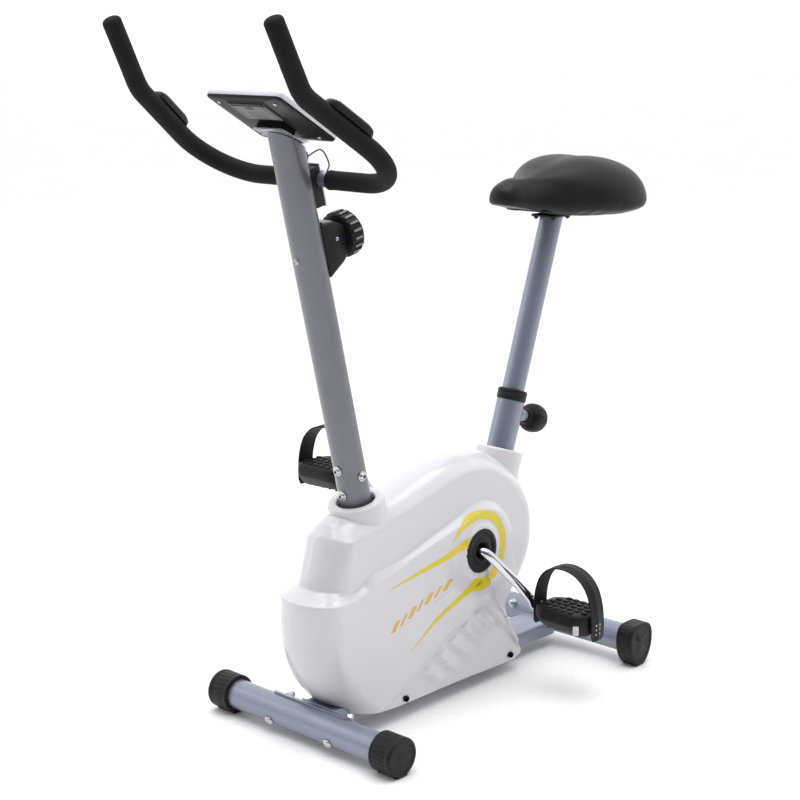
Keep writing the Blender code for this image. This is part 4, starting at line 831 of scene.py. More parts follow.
ring_inner = ring_radius((.0745, .0675, .0565, .0540, .0540, .0530, .0690))
ring_outer = ring_radius((.0755, .0745, .0720, .0700, .0700, .0740, .0695))
for label in ("left", "right"):
    a, b = arc_band(158.0, -114.0, ring_inner, ring_outer, 120)
    print_strip("yellow_ring_" + label, label, a, b, YELLOW)
    a, b = stripe((0.3220, 0.2820), (0.1270, 0.2385), 0.0078, 0.0004, bend=0.0045)
    print_strip("yellow_upper_stripe_" + label, label, a, b, YELLOW)
    a, b = stripe((0.3470, 0.2060), (0.1780, 0.1175), 0.0082, 0.0004, bend=-0.0045)
    print_strip("yellow_lower_stripe_" + label, label, a, b, YELLOW)
    # a row of plain slanted dashes where the housing carries a word
    for k in range(7):
        share = (k + 0.5) / 7
        y, z = 0.1310 + 0.1420 * share, 0.1680 + 0.0500 * share
        lean, tall, wide = 0.0066, 0.0090, 0.0030 if k % 2 else 0.0052
        first, second = ([tuple(V((y - lean + side, z - tall)).lerp(V((y + lean + side, z + tall)), t / 8))
                          for t in range(9)] for side in (-wide, wide))
        print_strip(f"gold_dash_{label}_{k}", label, first, second, GOLD)


# ---------------------------------------------------------------- handlebar, grips, clamp
BAR = V((0.0, 0.030, 0.9077))
FOAM_RADIUS = 0.0146
FOAM_BEND = V((0.0, 0.0251, BAR.z))
FOAM_RISE = V((0.0, -0.160, 1.0434))


def rounded_path(corners, radii, steps, run=0.012):
    """Points along straight runs joined by round bends, no further apart than about run on the straights."""
    made = [V(corners[0])]

    def straight(end):
        start = made[-1]
        count = max(1, int((V(end) - start).length / run))
        made.extend(start.lerp(V(end), k / count) for k in range(1, count + 1))

    for k in range(1, len(corners) - 1):
        corner = V(corners[k])
        back, forth = (V(corners[k - 1]) - corner).normalized(), (V(corners[k + 1]) - corner).normalized()
        half = back.angle(forth) / 2
        radius = radii[k - 1]
        reach = radius / math.tan(half)
        centre = corner + (back + forth).normalized() * (radius / math.sin(half))
        first, last = corner + back * reach - centre, corner + forth * reach - centre
        straight(centre + first)
        turn = first.angle(last)
        for step in range(1, steps[k - 1] + 1):
            share = step / steps[k - 1]
            made.append(centre + (first * math.sin((1 - share) * turn) + last * math.sin(share * turn))
                        / math.sin(turn))
    straight(corners[-1])
    return made


def bar_line(sign, start_x):
    """The middle line of one side of the handlebar."""
    corners = [V((sign * start_x, BAR.y, BAR.z))] + [V((sign * x, y, z)) for x, y, z in (
        (0.048, BAR.y, BAR.z), (0.2211, 0.0251, BAR.z), (0.1758, -0.160, 1.0434), (0.1731, -0.2075, 1.1412))]
    return rounded_path(corners, [0.40, 0.090, 0.055], [2, 22, 12])


line = list(reversed(bar_line(1.0, 0.012))) + bar_line(-1.0, 0.012)
lofted("bent_bar", sweep(line, lambda k, s: circle(BAR_RADIUS, 28)), LIGHT_GREY, "handlebars", ("handlebar",))


def foam_sleeve(name, sign, node):
    """Foam sleeve with a rounded end and a slightly flared mouth."""
    path = bar_line(sign, 0.037)
    rings = sweep(path, lambda k, s: circle(FOAM_RADIUS + 0.0012 * math.exp(-((s - 0.006) / 0.008) ** 2), 30))
    start, end = path[0], path[-1]
    ahead = (end - path[-2]).normalized()
    side = (rings[-1][0] - end).normalized()
    up = ahead.cross(side)
    for k in range(1, 9):
        angle = math.pi / 2 * k / 8
        shrink = math.cos(angle) ** 0.75 if k < 8 else 0.05
        rings.append([end + ahead * (0.0078 * math.sin(angle)) + side * (a * shrink) + up * (b * shrink)
                      for a, b in circle(FOAM_RADIUS, 30)])
    rings.insert(0, [start + (p - start) * (0.0119 / (p - start).length) for p in rings[0]])
    return lofted(name, rings, FOAM, "handlebars", (node,), sharp=60.0)


sleeves = [foam_sleeve("foam_grip_" + side, sign, "grip_" + side) for side, sign in SIDES]

for side, sign in SIDES:
    a, b = FOAM_BEND + X * (sign * 0.2211), FOAM_RISE + X * (sign * 0.1758)
    along = (b - a).normalized()
    out = (Z - along * along.z).normalized()
    across = along.cross(out)
    centre = a + along * 0.1545
    rings = []  # a rounded shell that thins towards both ends and is hollowed a little over the foam
    for k in range(25):
        t = 2.0 * k / 24 - 1.0
        fade = max(0.0, 1.0 - abs(t) ** 5) ** 0.5
        half = 0.0125 * (0.55 + 0.45 * fade)
        tall = 0.0055 + 0.0075 * fade
        ring = []
        for j in range(33):
            angle = math.pi * j / 32
            cosine, sine = math.cos(angle), math.sin(angle)
            ring.append((half * math.copysign(abs(cosine) ** 0.45, cosine), 0.0125 + tall * abs(sine) ** 0.5))
        for j in range(1, 16):
            angle = math.pi * j / 16
            ring.append((-half * math.cos(angle) * 0.92, 0.0125 + 0.0020 * (1 - math.sin(angle))))
        rings.append([centre + along * (t * 0.0430) + across * p + out * q for p, q in ring])
    lofted("pulse_housing_" + side, rings, BLACK, "handlebars", ("pulse_pod_" + side,), sharp=45.0)
    for k, low in enumerate((-0.033, 0.003)):
        outline = box_outline(0.0088, 0.0150, 0.0040, 5)
        slab(f"pulse_plate_{side}_{k}", outline, centre + along * (low + 0.0150) + out * 0.0242, (across, along, out),
             -0.0030, 0.0012, CHROME, "handlebars", slot="chrome", edge=0.0008)

# clamp: saddle block on the post, outer strap round the bar, and its bolt
reach = (BAR - post_point(BAR.z)).dot(POST_BACK)
origin = BAR - POST_BACK * reach
seat = reach - 0.0013


def hollowed(made, tools):
    """Cuts turned or swept tools out of a piece, for good."""
    for tool in tools:
        step = made.modifiers.new("cut", "BOOLEAN")
        step.operation = "DIFFERENCE"
        step.solver = "EXACT"
        step.object = tool
    settled(made, 35.0)
    for tool in tools:
        bpy.data.objects.remove(tool)


def cutter(at, along, radius, low, high):
    """A round tool for hollowed."""
    side, up, along = axes_of(along)
    rings = [[V(at) + along * t + side * a + up * b for a, b in circle(radius, 48)] for t in (low, high)]
    return linked("cutter", raw_mesh("cutter", *skin(rings)))


shape = soft_outline([(seat, 0.022), (seat, -0.040), (0.016, -0.040), (0.016, 0.022)], 0.0025, 4)
block = slab("clamp_block", shape, origin, (POST_BACK, POST_UP, X), -0.018, 0.018, BLACK, "frame", ("clamp_base",))
hollowed(block, [cutter(origin, POST_UP, POST_CLEARANCE, -0.06, 0.06), cutter(BAR, X, 0.0119, -0.03, 0.03)])
inner, outer = 0.0120, 0.0147
low, high = seat + 0.0003, seat + 0.0028
first, last = math.asin((low - reach) / inner), math.asin((high - reach) / outer)
shape = [(low, -0.042)]
shape += [(reach + inner * math.sin(t), inner * math.cos(t)) for t in
          (math.pi - first - (math.pi - 2 * first) * k / 24 for k in range(25))]
shape += [(low, 0.025), (high, 0.025)]
shape += [(reach + outer * math.sin(t), outer * math.cos(t)) for t in
          (last + (math.pi - 2 * last) * k / 24 for k in range(25))]
shape += [(high, -0.042)]
slab("clamp_strap", [V(p) for p in shape], origin, (POST_BACK, POST_UP, X), -0.0175, 0.0175, ZINC, "frame",
     ("clamp_cap",), edge=0.0005)
hex_bolt("clamp_screw", origin - POST_UP * 0.0275, POST_BACK, ("clamp_bolt",), high + 0.0002, 0.0320, size=0.0050,
         dome=False)

for side, sign in SIDES:
    start = post_point(0.935) + POST_BACK * 0.0255 + X * (sign * 0.0024)
    lift, away = (0.012, 0.030) if sign > 0 else (0.006, 0.020)
    run = curve_through([start - POST_BACK * 0.006, start + POST_BACK * 0.008 + X * (sign * 0.001),
                         start + POST_BACK * away + X * (sign * 0.008) + V((0, 0, lift * 0.3)),
                         V((sign * 0.0235, BAR.y + 0.010, BAR.z + 0.024)),
                         V((sign * 0.0270, BAR.y + 0.002, BAR.z + 0.0122))], 16)
    lofted("pulse_lead_" + side, sweep(run, lambda k, s: circle(0.0011, 12)), SATIN, "frame",
           ("pulse_wire_" + side,))
turned("lead_grommet", post_point(0.935), POST_BACK, eased([(0.0235, 0.0030), (0.0235, 0.0056), (0.0266, 0.0076),
       (0.0286, 0.0070), (0.0290, 0.0032)], 0.0008), SATIN, "frame", closed=True)


# ---------------------------------------------------------------- computer
CENTRE = V((0.0, -0.0534, 1.008))


def spot(x, down, normal):
    """A point in the computer's own axes."""
    return CENTRE + X * x + DOWN * down + FACE * normal


def plate_ring(half, low, high, normal, radius, steps=7):
    """A rounded rectangle parallel to the computer's face."""
    outline = soft_outline([(half, high), (-half, high), (-half, low), (half, low)], radius, steps)
    return [spot(p.x, p.y, normal) for p in outline]


hx, hy = 0.081, 0.0677
# from the raised plateau of the underside out to the rim: half width, low, high, height and corner radius
rings = [plate_ring(*ring) for ring in (
    (0.0385, -0.0565, 0.0510, -0.0122, 0.004), (0.0398, -0.0578, 0.0522, -0.0120, 0.005),
    (0.0408, -0.0588, 0.0532, -0.0113, 0.006), (0.0418, -0.0596, 0.0540, -0.0106, 0.006),
    (0.0480, -0.0606, 0.0560, -0.0100, 0.007), (0.0700, -0.0640, 0.0630, -0.0086, 0.009),
    (0.0780, -0.0656, 0.0655, -0.0076, 0.010), (0.0798, -0.0664, 0.0665, -0.0066, 0.011),
    (0.0802, -0.0668, 0.0668, -0.0058, 0.011), (0.0802, -0.0668, 0.0668, -0.0042, 0.011))]
lofted("computer_back", rings, SATIN, "frame", ("console_shell",), sharp=24.0)
frame_out = [plate_ring(hx - inset, inset - hy, hy - inset, normal, radius) for inset, normal, radius in (
    (0.0006, -0.0040, 0.011), (0.0, -0.0030, 0.0115), (0.0, 0.0020, 0.0115), (0.0008, 0.0042, 0.011),
    (0.0028, 0.0058, 0.010), (0.0052, 0.0063, 0.009))]
frame_in = [plate_ring(*ring) for ring in (
    (0.0575, -0.0525, 0.0225, 0.0063, 0.004), (0.0562, -0.0512, 0.0212, 0.0052, 0.0035),
    (0.0560, -0.0510, 0.0210, -0.0036, 0.0035))]
face_plate = lofted("computer_face", frame_out + frame_in, WHITE, "frame", ("console_top",), sharp=30.0, closed=True)
key_at = spot(0.0, 0.0430, 0.0)
hollowed(face_plate, [cutter(key_at, FACE, 0.0092, -0.02, 0.02)])
outline = soft_outline([(0.0558, 0.0208), (-0.0558, 0.0208), (-0.0558, -0.0508), (0.0558, -0.0508)], 0.003, 4)
slab("computer_window", outline, CENTRE, (X, DOWN, FACE), -0.0030, 0.0044, GLASS, "frame", ("console_screen",),
     edge=0.0003)
LCD = finish("lcd_film", (0.36, 0.40, 0.33), 0.35, mottle=0.03, grain=0.00001)
SLOT_OF[LCD.name] = "screen_glass"
slab("display_film", box_outline(0.043, 0.022, 0.002), spot(0.0, -0.018, 0.0), (X, DOWN, FACE), 0.0040, 0.0046,
     LCD, "frame", edge=0.0001)
for k, (x, y, w, h) in enumerate(((-0.028, -0.026, .010, .0042), (0.0, -0.026, .012, .0042),
                                  (0.028, -0.026, .010, .0042), (-0.020, -0.010, .016, .0060),
                                  (0.022, -0.010, .014, .0060))):
    slab(f"display_block_{k}", box_outline(w, h, 0.0008), spot(x, y, 0.0), (X, DOWN, FACE), 0.0045, 0.0048, SATIN,
         "frame", edge=0.0001)
turned("mode_key", key_at, FACE, [(-0.0010, 0.0088), (0.0062, 0.0088), (0.0072, 0.0084), (0.0079, 0.0074),
       (0.0081, 0.0060), (0.0078, 0.0040), (0.0076, 0.0010)], GREY, "mode_button", ("button_mode",),
       slot="black_plastic")
turned("mode_key_bezel", key_at, FACE, eased([(0.0040, 0.0092), (0.0040, 0.0118), (0.0068, 0.0112),
       (0.0070, 0.0094)], 0.0004), SATIN, "frame", closed=True)
# underside: recessed bay, battery door with a thumb notch, slots and screws
UNDER = finish("underside_grey", (0.105, 0.108, 0.112), 0.42, mottle=0.12, grain=0.00006, grain_scale=1200.0)
SLOT_OF[UNDER.name] = "grey_plastic"
slab("battery_lid", box_outline(0.0310, 0.0200, 0.0025), spot(0.0, -0.0290, -0.0124), (X, DOWN, FACE), -0.0013, 0.0010,
     UNDER, "battery_hatch", ("battery_door",), edge=0.0005)
slab("battery_notch", [V((a * 0.0085, b * 0.0040)) for a, b in circle(1.0, 32)],
     spot(0.0, -0.0440, -0.0137), (X, DOWN, FACE), -0.0002, 0.0006, SATIN, "battery_hatch", edge=0.0001)
for k in range(4):
    slab(f"battery_rib_{k}", box_outline(0.0180, 0.0006, 0.0005), spot(0.0, -0.0300 + 0.0045 * k, -0.0137),
         (X, DOWN, FACE), -0.0004, 0.0004, UNDER, "battery_hatch", edge=0.0002)
for name, x, y, w, h, look in (("bay_bar_front", 0.0, -0.0535, 0.0360, 0.0026, SATIN),
                               ("bay_panel_left", 0.0350, -0.0280, 0.0026, 0.0205, UNDER),
                               ("bay_panel_right", -0.0350, -0.0280, 0.0026, 0.0205, UNDER)):
    slab(name, box_outline(w, h, 0.0015), spot(x, y, -0.0123), (X, DOWN, FACE), -0.0012, 0.0006, look, "frame",
         edge=0.0004)
for k, (x, y) in enumerate(((0.060, -0.052), (-0.060, -0.052), (0.060, 0.050), (-0.060, 0.050))):
    turned(f"computer_screw_{k}", spot(x, y, -0.0095), -FACE, [(-0.001, 0.0030), (0.0009, 0.0030), (0.0016, 0.0022),
           (0.0012, 0.0010), (0.0002, 0.0006)], ZINC, "frame", count=24)


def bracket_part(name, half, front, back, low, high, look, nodes=()):
    """A block between the computer's underside and the slanted top of the post, between two heights above the post."""
    rings = []
    for level in (low, high):
        ring = []
        for p in soft_outline([(half, back), (-half, back), (-half, front), (half, front)], 0.004, 5):
            upper = spot(p.x, p.y, -0.0126)
            ring.append(upper if level is None else on_plane(upper, FACE, crown + CROWN * level, CROWN))
        rings.append(ring)
    lofted(name, rings, look, "frame", nodes)


# the bracket is black plastic, and its black also stands for the shadow in the gap under the computer: partly real
# colour, partly painted shade
bracket_part("computer_bracket", 0.0290, 0.0025, 0.0330, 0.0030, None, SATIN, ("console_bracket",))
bracket_part("bracket_plate", 0.0315, 0.0010, 0.0540, 0.0006, 0.0028, ZINC)
for side, sign in SIDES:
    ring = [spot(sign * 0.0300, d, -0.0126) for d in (0.0290, 0.0620)]
    ring += [on_plane(spot(sign * 0.0300, d, -0.0126), FACE, crown + CROWN * 0.0030, CROWN) for d in (0.0535, 0.0290)]
    lofted("bracket_gusset_" + side, [ring, [p - X * (sign * 0.0018) for p in ring]], ZINC, "frame")


# ---------------------------------------------------------------- tension control
origin = post_point(0.800)
shape = [V((t, s)) for s, t in ((0.021, 0.066), (-0.020, 0.066), (-0.034, 0.056), (-0.051, 0.018), (0.034, 0.018),
                                (0.031, 0.048))]
box = slab("tension_box", soft_outline(shape, 0.004, 5), origin, (POST_BACK, POST_UP, X), -0.021, 0.021, BLACK, "frame",
           ("tension_housing",), edge=0.0022)
hollowed(box, [cutter(origin, POST_UP, POST_CLEARANCE, -0.08, 0.08)])
facet = soft_outline([V((0.0262, 0.0325)), V((0.0470, 0.0305)), V((0.0470, 0.0328)), V((0.0262, 0.0362))], 0.001, 3)
slab("tension_top_plate", facet, origin, (POST_BACK, POST_UP, X), -0.0165, 0.0165, GREY, "frame", edge=0.0005)
turned("tension_box_screw", origin + POST_UP * 0.004 + POST_BACK * 0.046, X, [(0.0195, 0.0030), (0.0214, 0.0030),
       (0.0222, 0.0022), (0.0218, 0.0010), (0.0208, 0.0006)], ZINC, "frame", count=24)
turned("tension_scale_ring", origin, POST_BACK, eased([(0.0645, 0.0060), (0.0645, 0.0200), (0.0666, 0.0200),
       (0.0668, 0.0060)], 0.0006), SATIN, "frame", closed=True)


DIAL_RIBS = 18


def ribbed(t, r, angle):
    """Cuts the grooves between the ribs of the tension dial."""
    if r < 0.0300 or t > 0.0895 or t < 0.0690:
        return r
    wave = (angle * DIAL_RIBS / (2 * math.pi)) % 1.0
    return r if wave < 0.55 else r - 0.0022


profile = [(0.0490, 0.0032), (0.0495, 0.0038), (0.0672, 0.0038), (0.0672, 0.0332), (0.0680, 0.0342), (0.0688, 0.0348),
           (0.0692, 0.0368), (0.0700, 0.0370), (0.0780, 0.0370), (0.0860, 0.0370), (0.0892, 0.0366), (0.0897, 0.0352),
           (0.0915, 0.0344), (0.0925, 0.0328), (0.0925, 0.0250), (0.0912, 0.0236), (0.0908, 0.0140), (0.0914, 0.0128),
           (0.0914, 0.0010)]
turned("tension_dial", origin, POST_BACK, profile, BLACK, "tension_dial", ("tension_knob",), count=216, flute=ribbed,
       sharp=30.0)
side, up, along = axes_of(POST_BACK)
# grey strips on the crests of the black dial's ribs: painted highlights where the ribs catch the light
for k in range(DIAL_RIBS):
    angle = 2 * math.pi * (k + 0.28) / DIAL_RIBS
    out = side * math.cos(angle) + up * math.sin(angle)
    across = along.cross(out)
    slab(f"dial_rib_highlight_{k}", box_outline(0.0016, 0.0082, 0.0008, 3), origin + out * 0.0368 + POST_BACK * 0.0790,
         (across, along, out), -0.0006, 0.0005, GREY, "tension_dial", slot="black_plastic", edge=0.0003)
slab("dial_pointer", box_outline(0.0012, 0.0050, 0.0006, 3), origin + POST_BACK * 0.0908 + POST_UP * 0.0180,
     (X, POST_UP, POST_BACK), -0.0006, 0.0009, WHITE, "tension_dial", slot="white_gloss", edge=0.0002)


# ---------------------------------------------------------------- crank and pedals
# half of the bent crank: how far out, how far along the arm, and its half width and thickness there
half = [(0.0, 0.0, .0085, .0085), (0.040, 0.0, .0085, .0085), (0.058, 0.0, .0085, .0085), (0.068, 0.0005, .0085, .0085),
        (0.079, 0.0035, .0088, .0080), (0.0865, 0.0105, .0088, .0078), (0.0920, 0.022, .0086, .0068),
        (0.0985, 0.042, .0086, .0062), (0.1080, 0.075, .0086, .0062), (0.1160, 0.105, .0088, .0062),
        (0.1195, 0.125, .0096, .0065), (0.1200, 0.137, .0116, .0070), (0.1200, 0.146, .0112, .0070),
        (0.1200, 0.151, .0088, .0066), (0.1200, 0.1535, .0050, .0045)]
fine = curve_through([(x, r, 0.0) for x, r, _, _ in half], 7)
wide = curve_through([(w, d, 0.0) for _, _, w, d in half], 7)
stations = [(-p.x, -p.y, w.x, w.y) for p, w in reversed(list(zip(fine, wide)))][:-1]
stations += [(p.x, p.y, w.x, w.y) for p, w in zip(fine, wide)]
centres = [CRANK + X * s[0] + ARM * s[1] for s in stations]
across = X.cross(ARM)
rings = []
for n, (_, _, w, d) in enumerate(stations):
    ahead = (centres[min(n + 1, len(centres) - 1)] - centres[max(n - 1, 0)]).normalized()
    thick = ahead.cross(across).normalized()
    rings.append([centres[n] + across * (w * a) + thick * (d * b) for a, b in circle(1.0, 28)])
lofted("bent_crank", rings, CHROME, "crankset", ("crank",), sharp=60.0)
for side, sign in SIDES:
    centre = CRANK + ARM * (sign * CRANK_LENGTH)
    turned("pedal_spindle_" + side, centre, X * sign, [(0.1190, 0.0048), (0.1262, 0.0050), (0.1264, 0.0072),
           (0.1300, 0.0072), (0.1302, 0.0058), (0.1700, 0.0055), (0.2300, 0.0052), (0.2308, 0.0044),
           (0.2310, 0.0010)], CHROME, "crankset", count=48,
           flute=lambda t, r, a: hexagon(r, a) if PEDAL_HEX[0] < t < PEDAL_HEX[1] else r)
    disc = [(0.0600, 0.0100), (0.0600, 0.0200), (0.0742, 0.0200), (0.0742, 0.0380), (0.0748, 0.0386), (0.0768, 0.0386),
            (0.0780, 0.0378), (0.0786, 0.0362), (0.0784, 0.0300), (0.0780, 0.0290), (0.0772, 0.0288), (0.0772, 0.0200),
            (0.0778, 0.0190), (0.0776, 0.0165), (0.0745, 0.0130), (0.0690, 0.0112)]
    turned("crank_cover_" + side, CRANK, X * sign, disc, BLACK, "crankset", ("crank_disc_" + side,), closed=True,
           count=72)

RUBBER_TREAD = finish("pedal_rubber", (0.010, 0.010, 0.0105), 0.56, mottle=0.3, grain=0.0001, grain_scale=1100.0,
                      dirt=0.02, shine=0.25)
SLOT_OF[RUBBER_TREAD.name] = "black_plastic"


def pedal(side, sign):
    """A pedal with its treads, reflectors, screws and toe strap."""
    centre = CRANK + ARM * (sign * CRANK_LENGTH)
    body = side + "_pedal"

    def at(x, y, z):
        return centre + V((sign * x, y, z))

    rings = []
    # how far out, half length, underside and upper face
    table = ((0.1385, .0150, -.0150, .0080), (0.1392, .0180, -.0180, .0100), (0.1450, .0270, -.0220, .0128),
             (0.1560, .0340, -.0240, .0140), (0.1680, .0380, -.0250, .0148), (0.2000, .0395, -.0260, .0150),
             (0.2320, .0405, -.0266, .0150), (0.2400, .0370, -.0256, .0142), (0.2460, .0310, -.0240, .0130),
             (0.2505, .0230, -.0200, .0112), (0.2520, .0180, -.0165, .0090))
    smooth = curve_through([(x, h, 0.0) for x, h, _, _ in table], 4)
    heights = curve_through([(low, high, 0.0) for _, _, low, high in table], 4)
    for p, q in zip(smooth, heights):
        h, low, high = p.y, q.x, q.y
        corners = [(h, -.006), (h, .004), (h * .96, high - .0035), (h * .88, high), (-h * .88, high),
                   (-h * .96, high - .0035), (-h, .004), (-h, -.006), (-h * .60, low + .002), (-h * .50, low),
                   (h * .50, low), (h * .60, low + .002)]
        rings.append([at(p.x, c.x, c.y) for c in soft_outline(corners, 0.004, 3)])
    shell = lofted("pedal_body_" + side, rings, BLACK, body, ("pedal_" + side,), sharp=38.0)
    hollowed(shell, [cutter(centre, X * sign, 0.0068, 0.12, 0.2335)])
    # raised tread blocks on the upper face and ribs below
    count = 0
    for i in range(6):
        for j in range(5):
            x, y = 0.1600 + 0.0150 * i + (0.0035 if j % 2 else 0.0), -0.0280 + 0.0140 * j
            if abs(y) > 0.030 - (0.012 if i in (0, 5) else 0.0):
                continue
            slab(f"pedal_tread_{side}_{count}", box_outline(0.0048, 0.0042, 0.0016, 3), at(x, y, 0.0146),
                 (X * sign, FORE_AFT, Z), -0.001, 0.0022, RUBBER_TREAD, body, edge=0.0007)
            count += 1
    for k in range(5):
        slab(f"pedal_rib_{side}_{k}", box_outline(0.0012, 0.0190, 0.0008, 3), at(0.165 + 0.0165 * k, 0.0, -0.0262),
             (X * sign, FORE_AFT, Z), -0.0012, 0.0030, BLACK, body, edge=0.0005)
    facing = (X * (sign * 0.62) - FORE_AFT * (sign * 0.78)).normalized()
    slab(f"pedal_reflector_{side}_0", box_outline(0.0050, 0.0082, 0.0015, 4), at(0.2385, -sign * 0.0370, -0.0100),
         (facing.cross(Z), Z, facing), -0.0040, 0.0016, REFLECTOR, body, edge=0.0006)
    slab(f"pedal_end_reflector_{side}", box_outline(0.0095, 0.0062, 0.0015, 4), at(0.2515, 0.0, -0.0060),
         (FORE_AFT, Z, X * sign), -0.0030, 0.0012, REFLECTOR, body, edge=0.0006)
    for k, y in enumerate((-0.022, 0.022)):
        turned(f"pedal_screw_{side}_{k}", at(0.0, y, -0.004), X * sign, [(0.2440, 0.0030), (0.2475, 0.0030),
               (0.2482, 0.0022), (0.2478, 0.0008)], ZINC, body, count=20)
    # toe strap with rounded edges, a row of slots and a raised middle rib
    line = curve_through([(x, 0.0, z) for x, z in (
        (0.1345, -0.0265), (0.1345, -0.012), (0.1345, 0.000), (0.1365, 0.031), (0.1465, 0.060), (0.1670, 0.0785),
        (0.1950, 0.0835), (0.2230, 0.0760), (0.2440, 0.0560), (0.2545, 0.0280), (0.2575, 0.004), (0.2580, -0.012),
        (0.2575, -0.0315))], 9)
    rings = []
    for k, point in enumerate(line):
        ahead = (line[min(k + 1, len(line) - 1)] - line[max(k - 1, 0)]).normalized()
        normal = V((-ahead.z, 0.0, ahead.x))
        share = k / (len(line) - 1)
        narrow = 0.0045 * (math.exp(-(share / 0.03) ** 2) + math.exp(-((share - 1.0) / 0.03) ** 2))
        rear, front = -0.0195 + narrow, 0.0155 - narrow
        flat = [(front, .0006), (front - .0010, .0014), (.0025, .0014), (.0015, .0020), (-.0055, .0020),
                (-.0065, .0014), (rear + .0010, .0014), (rear, .0006), (rear, -.0006), (rear + .0010, -.0014),
                (front - .0010, -.0014), (front, -.0006)]
        rings.append([at((point + normal * t).x, y, (point + normal * t).z) for y, t in flat])
    strap = lofted("toe_strap_" + side, rings, RUBBER_TREAD, body, ("strap_" + side,), sharp=50.0)
    hollowed(strap, [cutter(centre, X * sign, 0.0095, 0.128, 0.139)])
    for k, (x, z) in enumerate(((0.1325, 0.0135), (0.1338, 0.0215), (0.2592, -0.0040), (0.2590, -0.0120),
                                (0.2588, -0.0200))):
        slab(f"strap_slot_{side}_{k}", box_outline(0.0060, 0.0021, 0.0019, 5), at(x, -0.002, z),
             (FORE_AFT, Z, X * sign), -0.0006, 0.0006, REFLECTOR, body, edge=0.0002)
    turned(f"strap_stud_{side}", at(0.0, -0.002, -0.0268), X * sign, [(0.2585, 0.0048), (0.2596, 0.0046),
           (0.2602, 0.0036), (0.2604, 0.0010)], BLACK, body, count=28)


REFLECTOR = finish("reflector", (0.62, 0.63, 0.65), 0.18, mottle=0.10, mottle_scale=300.0, grain=0.0002,
                   grain_scale=900.0, cells=0.0003, cell_scale=500.0)
SLOT_OF[REFLECTOR.name] = "grey_plastic"
for side, sign in SIDES:
    pedal(side, sign)


# ---------------------------------------------------------------- seat
post_top = seat_point(SEAT_POST_TOP)
pipe("seat_slide_tube", seat_point(0.250), post_top, SEAT_POST_RADIUS, 0.0183, LIGHT_GREY, "seat_column",
     ("seat_post",), far=Z)
# the flange under the saddle is black for the shadow it sits in: painted shade
slab("saddle_flange", box_outline(0.027, 0.029, 0.008, 6), V((0.0, post_top.y, 0.8032)), (X, FORE_AFT, Z),
     -0.0018, 0.0018, BLACK, "seat_column", edge=0.0005)
for k in range(9):
    turned(f"height_hole_{k}", seat_point(0.500 + 0.032 * k), SEAT_BACK, [(0.0196, 0.0044), (0.02035, 0.0044),
           (0.0204, 0.0038), (0.0200, 0.0034), (0.0196, 0.0006)], SATIN, "seat_column", count=28)
knob = [(0.0212, 0.0028), (0.0216, 0.0040), (0.0484, 0.0040), (0.0484, 0.0112), (0.0492, 0.0122), (0.0540, 0.0140),
        (0.0560, 0.0165), (0.0590, 0.0215), (0.0630, 0.0244), (0.0680, 0.0260), (0.0750, 0.0264), (0.0820, 0.0256),
        (0.0880, 0.0234), (0.0930, 0.0196), (0.0965, 0.0146), (0.0985, 0.0090), (0.0992, 0.0030), (0.0992, 0.0006)]
knob = [(p.x, max(0.0004, p.y)) for p in curve_through([(t, r, 0.0) for t, r in knob], 3)]
turned("pull_ball", knob_at, SEAT_BACK, knob, BLACK, "pull_knob", ("seat_knob",), count=64, sharp=40.0,
       flute=lambda t, r, a: r - (0.0012 if (0.066 < t < 0.084 and (a * 10 / (2 * math.pi)) % 1.0 < 0.22) else 0.0))

# the saddle's stations in millimetres: y, half width, top and underside
SADDLE = (
    (462, 9, 850, 837), (465, 20, 860, 834), (472, 29, 867, 831), (488, 37, 871, 828), (513, 44, 872, 823),
    (542, 54, 874, 817), (572, 71, 883, 812), (605, 95, 895, 808), (640, 114, 903, 806), (680, 124, 906, 805),
    (720, 125, 903, 806), (752, 117, 895, 809), (774, 100, 881, 815), (788, 76, 868, 822), (795, 50, 857, 830),
    (798, 24, 849, 836))


def saddle_rings(shrink, count=64, fine=5):
    """The saddle's outer skin through its stations, with the groove between the two lobes."""
    table = curve_through([(y, half, top) for y, half, top, _ in SADDLE], fine)
    lows = curve_through([(low, 0.0, 0.0) for _, _, _, low in SADDLE], fine)
    rings = []
    for p, q in zip(table, lows):
        y, half, top, bottom = p.x * 0.001, p.y * 0.001 - shrink, p.z * 0.001 - shrink, (q.x + 1.6) * 0.001
        height = top - bottom
        groove = 0.0036 * smoothstep(0.53, 0.63, y) * (1 - smoothstep(0.760, 0.800, y))
        ring = []
        for k in range(count):
            angle = 2 * math.pi * k / count
            cosine, sine = math.cos(angle), math.sin(angle)
            x = half * math.copysign(abs(cosine) ** 0.74, cosine)
            if sine >= 0.0:
                z = bottom + height * (0.12 + 0.88 * sine ** 0.94) - float(groove) * math.exp(-(x / 0.022) ** 2)
            else:
                z = bottom + height * 0.12 * (1.0 - abs(sine) ** 0.45)
            ring.append(V((x, y, z)))
        rings.append(ring)
    return rings


